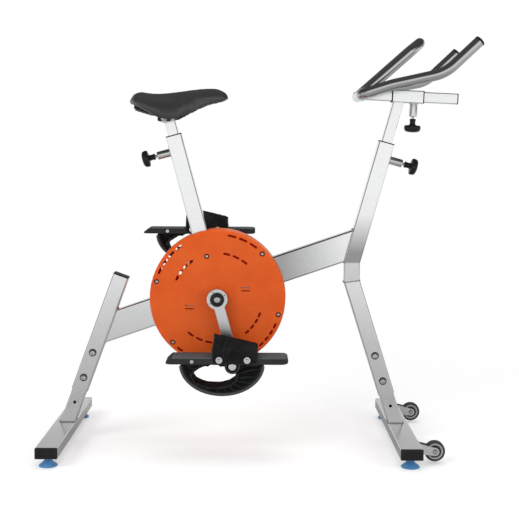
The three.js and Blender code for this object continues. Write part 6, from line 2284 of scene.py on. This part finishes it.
@dataclass
class Handlebar:
    """Handlebar post with its sleeve, the slider, the U bar with horns and the raised loop."""

    layout: Layout
    pins: Pins
    radius: float = 0.015
    sleeve_length: float = 0.086
    sleeve: BoxTube = BoxTube(0.036, 0.036, 0.0015, 0.003)
    reach_ahead: float = 0.019
    slider_front: float = 0.141
    rear_half: float = 0.075
    elbow: Triple = (0.082, 0.106, 0.0255)
    horn: Triple = (0.2166, 0.158, 0.053)
    tip: Triple = (0.307, 0.158, 0.1383)
    loop_half: float = 0.062
    loop_top: tuple[float, float] = (0.1675, 0.1486)
    cap_length: float = 0.0072

    def build(self) -> None:
        """Builds the post, sleeve, slider, bars, caps and both pull pins."""
        self.post()
        self.slider()
        self.bars()

    def post(self) -> None:
        """Builds the post with its sleeve, the reach boss, the bushes and the pins."""
        layout = self.layout
        head = layout.sleeve_above / cos(layout.column_lean) - 0.4 * self.sleeve.tall
        body = "bar_post_body"
        tube = SQUARE_POST.along(upright(-POST_HIDDEN, head)).moved(layout.column())
        add("bar_post_tube", tube, body, leaning_steel(layout.column_lean), ["handlebar_post"], flat=True)
        half = self.sleeve_length / 2
        spot = layout.sleeve()
        sleeve = self.sleeve.along(Sweep([X * -half, X * half], Z))
        add("slider_sleeve", sleeve.moved(spot), body, leaning_steel(90 + layout.slider_tilt), flat=True)
        for name, hand in (("front", 1), ("rear", -1)):
            section = BoxTube(0.036, 0.036, 0.0027, 0.003)
            flange = eased(section.along(Sweep([X * (half + GAP), X * (half + GAP + 0.003)], Z)), 0.0006, 2)
            ring = (flange if hand > 0 else flange.turned(180, "Y")).moved(spot)
            add(f"sleeve_{name}_ring", ring, body, BLACK, [f"sleeve_{name}_bush"], flat=True)
        height = self.pins.beside(layout.column(), 90)
        self.pins.pin("height_pin", height, SQUARE_LEG.tall / 2, SQUARE_POST.tall / 2)
        reach = spot @ Matrix.Translation((self.reach_ahead, 0, 0)) @ turn(180, "Y")
        self.pins.boss("reach", body, reach, self.sleeve.tall / 2)
        self.pins.pin("reach_pin", reach, self.sleeve.tall / 2, SQUARE_POST.tall / 2)

    def slider(self) -> None:
        """Builds the slider tube, coped on the rear bar, and its end cap."""
        layout = self.layout
        spot = layout.sleeve()
        tube = SQUARE_POST.along(Sweep([X * -layout.slider_back, X * self.slider_front], Z))
        cope = rod(self.radius, -0.04, 0.04).turned(90, "X").at(-layout.slider_back, 0, -layout.bar_drop)
        coped, brushed = carved(tube, cope).moved(spot), leaning_steel(90 + layout.slider_tilt)
        add("slider_bar", coped, "bars_body", brushed, ["slider_tube"], flat=True)
        start = self.slider_front + GAP
        cap = eased(Sweep([X * start, X * (start + 0.003)], Z).bar(SQUARE_POST.outer()), 0.0008, 3)
        plug = Sweep([X * (start - 0.012), X * start], Z).bar(rounded(0.0254, 0.0254, 0.002))
        add("slider_end_cap", joined(cap, plug).moved(spot), "bars_body", BLACK, ["slider_cap"], flat=True)
        ring = Sweep([X * 0, X * 1], Z).rings(SQUARE_POST.outer(0.0004))[0]
        weld = meeting(ring, X, [Y * -0.1 - Z * layout.bar_drop, Y * 0.1 - Z * layout.bar_drop], self.radius)
        shift = spot @ Matrix.Translation((-layout.slider_back, 0, 0))
        add("slider_weld", bead([shift @ p for p in weld], 0.0022), "bars_body", WELD)

    def bar_path(self) -> list[Vector]:
        """Returns the U bar's path from the right horn's tip to the left one's."""
        side = [Vector(at) for at in ((0, self.rear_half, 0), self.elbow, self.horn, self.tip)]
        corners = [*(Vector((p.x, -p.y, p.z)) for p in reversed(side)), *side]
        return bent_path(corners, [0.090, 0.160, 0.034, 0.034, 0.160, 0.090], 18)

    def bars(self) -> None:
        """Builds the bent bars, their welds and the horn caps."""
        spot = self.layout.bars()
        section = circle(self.radius, 48)
        path = self.bar_path()
        # The bars take the darker copy of the polished steel, a painted shade
        add("horn_bar", Sweep(path, Z).bar(section).moved(spot), "bars_body", POLISHED_SHADED, ["handlebar"])
        ahead, rise = self.loop_top
        corners = [Vector((0, y * self.loop_half, 0)) for y in (1, -1)]
        corners[1:1] = [Vector((ahead, y * self.loop_half, rise)) for y in (1, -1)]
        loop = bent_path(corners, [0.044, 0.044], 18)
        add("raised_bar", Sweep(loop, X).bar(section).moved(spot), "bars_body", POLISHED_SHADED)
        heading = Vector((ahead, 0, rise)).normalized()
        welds = []
        for hand in HANDS.values():
            start = Vector((0, hand * self.loop_half, 0))
            ring = Sweep([start, start + heading], Y).rings(circle(self.radius + 0.0003, 40))[0]
            welds.append(bead([spot @ p for p in meeting(ring, heading, path, self.radius)], 0.0016))
        add("raised_bar_welds", joined(*welds), "bars_body", WELD)
        way = (Vector(self.tip) - Vector(self.horn)).normalized()
        lean = 90 - math.degrees(math.atan2(way.z, way.x))
        dome = [(1.0, 0.0), (1.03, 0.1), (1.03, 0.42), (0.95, 0.78), (0.72, 0.98), (0.4, 1.12), (0, 1.16)]
        profile = [(0, -0.014), (0.0126, -0.014), (0.0126, GAP)]
        profile += [(a * self.radius, GAP + b * self.cap_length) for a, b in dome]
        cap = revolved(rounding(profile, 0.0008, 3), 64)
        for side, hand in HANDS.items():
            x, y, z = self.tip
            tip = spot @ place(x, hand * y, z, lean)
            add(f"{side}_horn_plug", cap.moved(tip), "bars_body", KNOB, [f"{side}_horn_cap"])


def nearest(point: Vector, path: Sequence[Vector]) -> float:
    """Returns the distance from a point to a path of straight spans."""
    best = math.inf
    for a, b in zip(path, path[1:]):
        span = b - a
        share = min(1.0, max(0.0, (point - a).dot(span) / span.length_squared))
        best = min(best, (point - a - span * share).length)
    return best


def meeting(ring: Sequence[Vector], heading: Vector, path: Sequence[Vector], radius: float) -> list[Vector]:
    """Finds where lines through a ring leave a round bar, for the weld between them.

    Args:
        ring: places inside the bar or on it.
        heading: the lines' direction.
        path: the bar's axis.
        radius: the bar's radius.
    Returns:
        One place for each of the ring's.
    """
    places = []
    for point in ring:
        low, high = 0.0, 3 * radius
        for _ in range(18):
            middle = (low + high) / 2
            inside = nearest(point + heading * middle, path) < radius
            low, high = (middle, high) if inside else (low, middle)
        places.append(point + heading * high)
    return places


@dataclass
class Studio:
    """Camera, lamps, floor and background."""

    spot: Vector = field(default_factory=lambda: Vector((-0.0206, -2.8954, 0.8202)))
    pitch: float = 2.741
    yaw: float = -0.276
    roll: float = 0.313
    focal_pixels: float = 1005.1
    frame_pixels: float = 519.0
    shift_pixels: float = -50.0
    sensor: float = 36.0
    floor_lift: float = 0.36
    floor_half: float = 14.0
    # Where the floor fades into the backdrop, and where its tone in the metal changes, in metres
    backdrop_from: tuple[float, float] = (0.9, 1.7)
    far_from: tuple[float, float] = (1.4, 5.0)
    front_floor: float = 0.5
    far_floor: float = 0.95
    # The height and the side of a direction in the room, from 0 to 1, between which each tone changes
    sky_heights: tuple[float, float] = (0.12, 0.8)
    sky_tones: tuple[float, float] = (0.95, 0.16)
    ceiling_heights: tuple[float, float] = (0.08, 0.44)
    overhead_heights: tuple[float, float] = (0.5, 0.8)
    room_sides: tuple[float, float] = (0.55, 0.85)
    horizon: float = 1.05
    ceiling: float = 0.06
    room_ends: float = 0.26
    overhead: float = 0.09

    def build(self) -> None:
        """Sets the camera, the light and the pale floor."""
        self.camera()
        self.lamps()
        self.floor()
        self.world()
        bpy.context.scene.view_settings.view_transform = "Standard"

    def camera(self) -> None:
        """Places the camera where the photograph was taken from."""
        data = bpy.data.cameras.new("camera")
        data.sensor_width = self.sensor
        data.lens = self.focal_pixels * self.sensor / self.frame_pixels
        data.shift_y = self.shift_pixels / self.frame_pixels
        data.clip_end = 60
        ahead = Vector((-sin(self.yaw) * cos(self.pitch), cos(self.yaw) * cos(self.pitch), -sin(self.pitch)))
        right = Vector((cos(self.yaw), sin(self.yaw), 0))
        up = right.cross(ahead)
        side = cos(self.roll) * right + sin(self.roll) * up
        lift = cos(self.roll) * up - sin(self.roll) * right
        turned = Matrix((side, lift, -ahead)).transposed().to_4x4()
        camera = linked("camera", data)
        camera.matrix_world = Matrix.Translation(self.spot) @ turned
        bpy.context.scene.camera = camera

    def lamp(self, name: str, at: Triple, aim: Triple, size: float, power: float) -> None:
        """Adds a square soft lamp.

        Args:
            name: its name.
            at: its place.
            aim: the place it faces.
            size: its side in metres.
            power: its power in watts.
        """
        data = bpy.data.lights.new(name, "AREA")
        data.size, data.energy = size, power
        lamp = linked(name, data)
        way = Vector(aim) - Vector(at)
        lamp.rotation_euler = way.to_track_quat("-Z", "Y").to_euler()
        lamp.location = at
        lamp.visible_glossy = False

    def lamps(self) -> None:
        """Sets a large key from the upper left, a fill and an overhead lamp."""
        self.lamp("key", (-2.6, -2.6, 2.8), (0, 0, 0.5), 2.2, 70)
        self.lamp("fill", (2.8, -2.2, 1.6), (0, 0, 0.5), 2.4, 34)
        self.lamp("top", (0.2, 0.4, 3.4), (0, 0, 0.4), 2.2, 42)

    def floor(self) -> None:
        """Lays a white floor that keeps the object's shadow and fades into the backdrop."""
        half = self.floor_half
        mesh = bpy.data.meshes.new("floor")
        corners = [(-half, -half, 0), (half, -half, 0), (half, half, 0), (-half, half, 0)]
        mesh.from_pydata(corners, [], [(0, 1, 2, 3)])
        floor = linked("floor", mesh)
        material = bpy.data.materials.new("floor_white")
        material.use_nodes = True
        board = Board(material.node_tree)
        path, seen = board.seen()
        away = board.vector("LENGTH", board.object_place())["Value"]
        mirrored = path["Is Glossy Ray"]
        tone = board.mix(mirrored, rgba((0.8, 0.8, 0.8)), rgba((self.front_floor,) * 3))
        paper = board.add("ShaderNodeBsdfDiffuse", {}, Color=tone).outputs[0]
        near = board.sum("MULTIPLY", seen, self.floor_lift)
        white = (1, 1, 1, 1)
        lift = board.add("ShaderNodeEmission", {}, Color=white, Strength=near).outputs[0]
        both = board.add("ShaderNodeAddShader", {}, n0=paper, n1=lift).outputs[0]
        far = board.span(away, *self.far_from, self.front_floor, self.far_floor)
        level = board.mix(mirrored, white, far)
        backdrop = board.add("ShaderNodeEmission", {}, Color=white, Strength=level).outputs[0]
        shown = board.sum("MINIMUM", board.sum("ADD", seen, mirrored), 1.0)
        fade = board.sum("MULTIPLY", board.span(away, *self.backdrop_from, 0, 1), shown)
        whole = board.add("ShaderNodeMixShader", {}, n0=fade, n1=both, n2=backdrop).outputs[0]
        board.add("ShaderNodeOutputMaterial", {}, Surface=whole)
        mesh.materials.append(material)

    def world(self) -> None:
        """Sets a white backdrop, and a room that darkens overhead and to both sides in the metal."""
        world = bpy.data.worlds.new("studio")
        world.use_nodes = True
        bpy.context.scene.world = world
        board = Board(world.node_tree)
        path, seen = board.seen()
        way = board.add("ShaderNodeTexCoord").outputs["Generated"]
        side, _, height = board.add("ShaderNodeSeparateXYZ", {}, Vector=way).outputs
        dim = board.span(height, *self.sky_heights, *self.sky_tones)
        ceiling = board.span(height, *self.ceiling_heights, self.horizon, self.ceiling)
        ends = board.span(board.sum("ABSOLUTE", side), *self.room_sides, 1.0, self.room_ends)
        above = board.span(height, *self.overhead_heights, self.ceiling, self.overhead)
        room = board.sum("MAXIMUM", board.sum("MULTIPLY", ceiling, ends), above)
        lit = board.sum("MULTIPLY_ADD", path["Is Glossy Ray"], board.sum("SUBTRACT", room, dim), dim)
        light = board.sum("MAXIMUM", seen, lit)
        sky = board.add("ShaderNodeBackground", {}, Color=(1, 1, 1, 1), Strength=light).outputs[0]
        board.add("ShaderNodeOutputWorld", {}, Surface=sky)


def main() -> None:
    """Builds every sub-assembly in order and the studio round them."""
    logging.basicConfig(level=logging.INFO, format="%(message)s")
    layout = Layout(hub=box_in("crank_axle"))
    pins = Pins()
    Studio().build()
    for assembly in (
        BaseBars(layout), Legs(layout), Frame(layout, pins), Housing(layout), Crankset(layout),
        Pedals(layout), Seat(layout, pins), Handlebar(layout, pins),
    ):
        log.info("building %s", type(assembly).__name__)
        assembly.build()


if __name__ == "__main__":
    main()
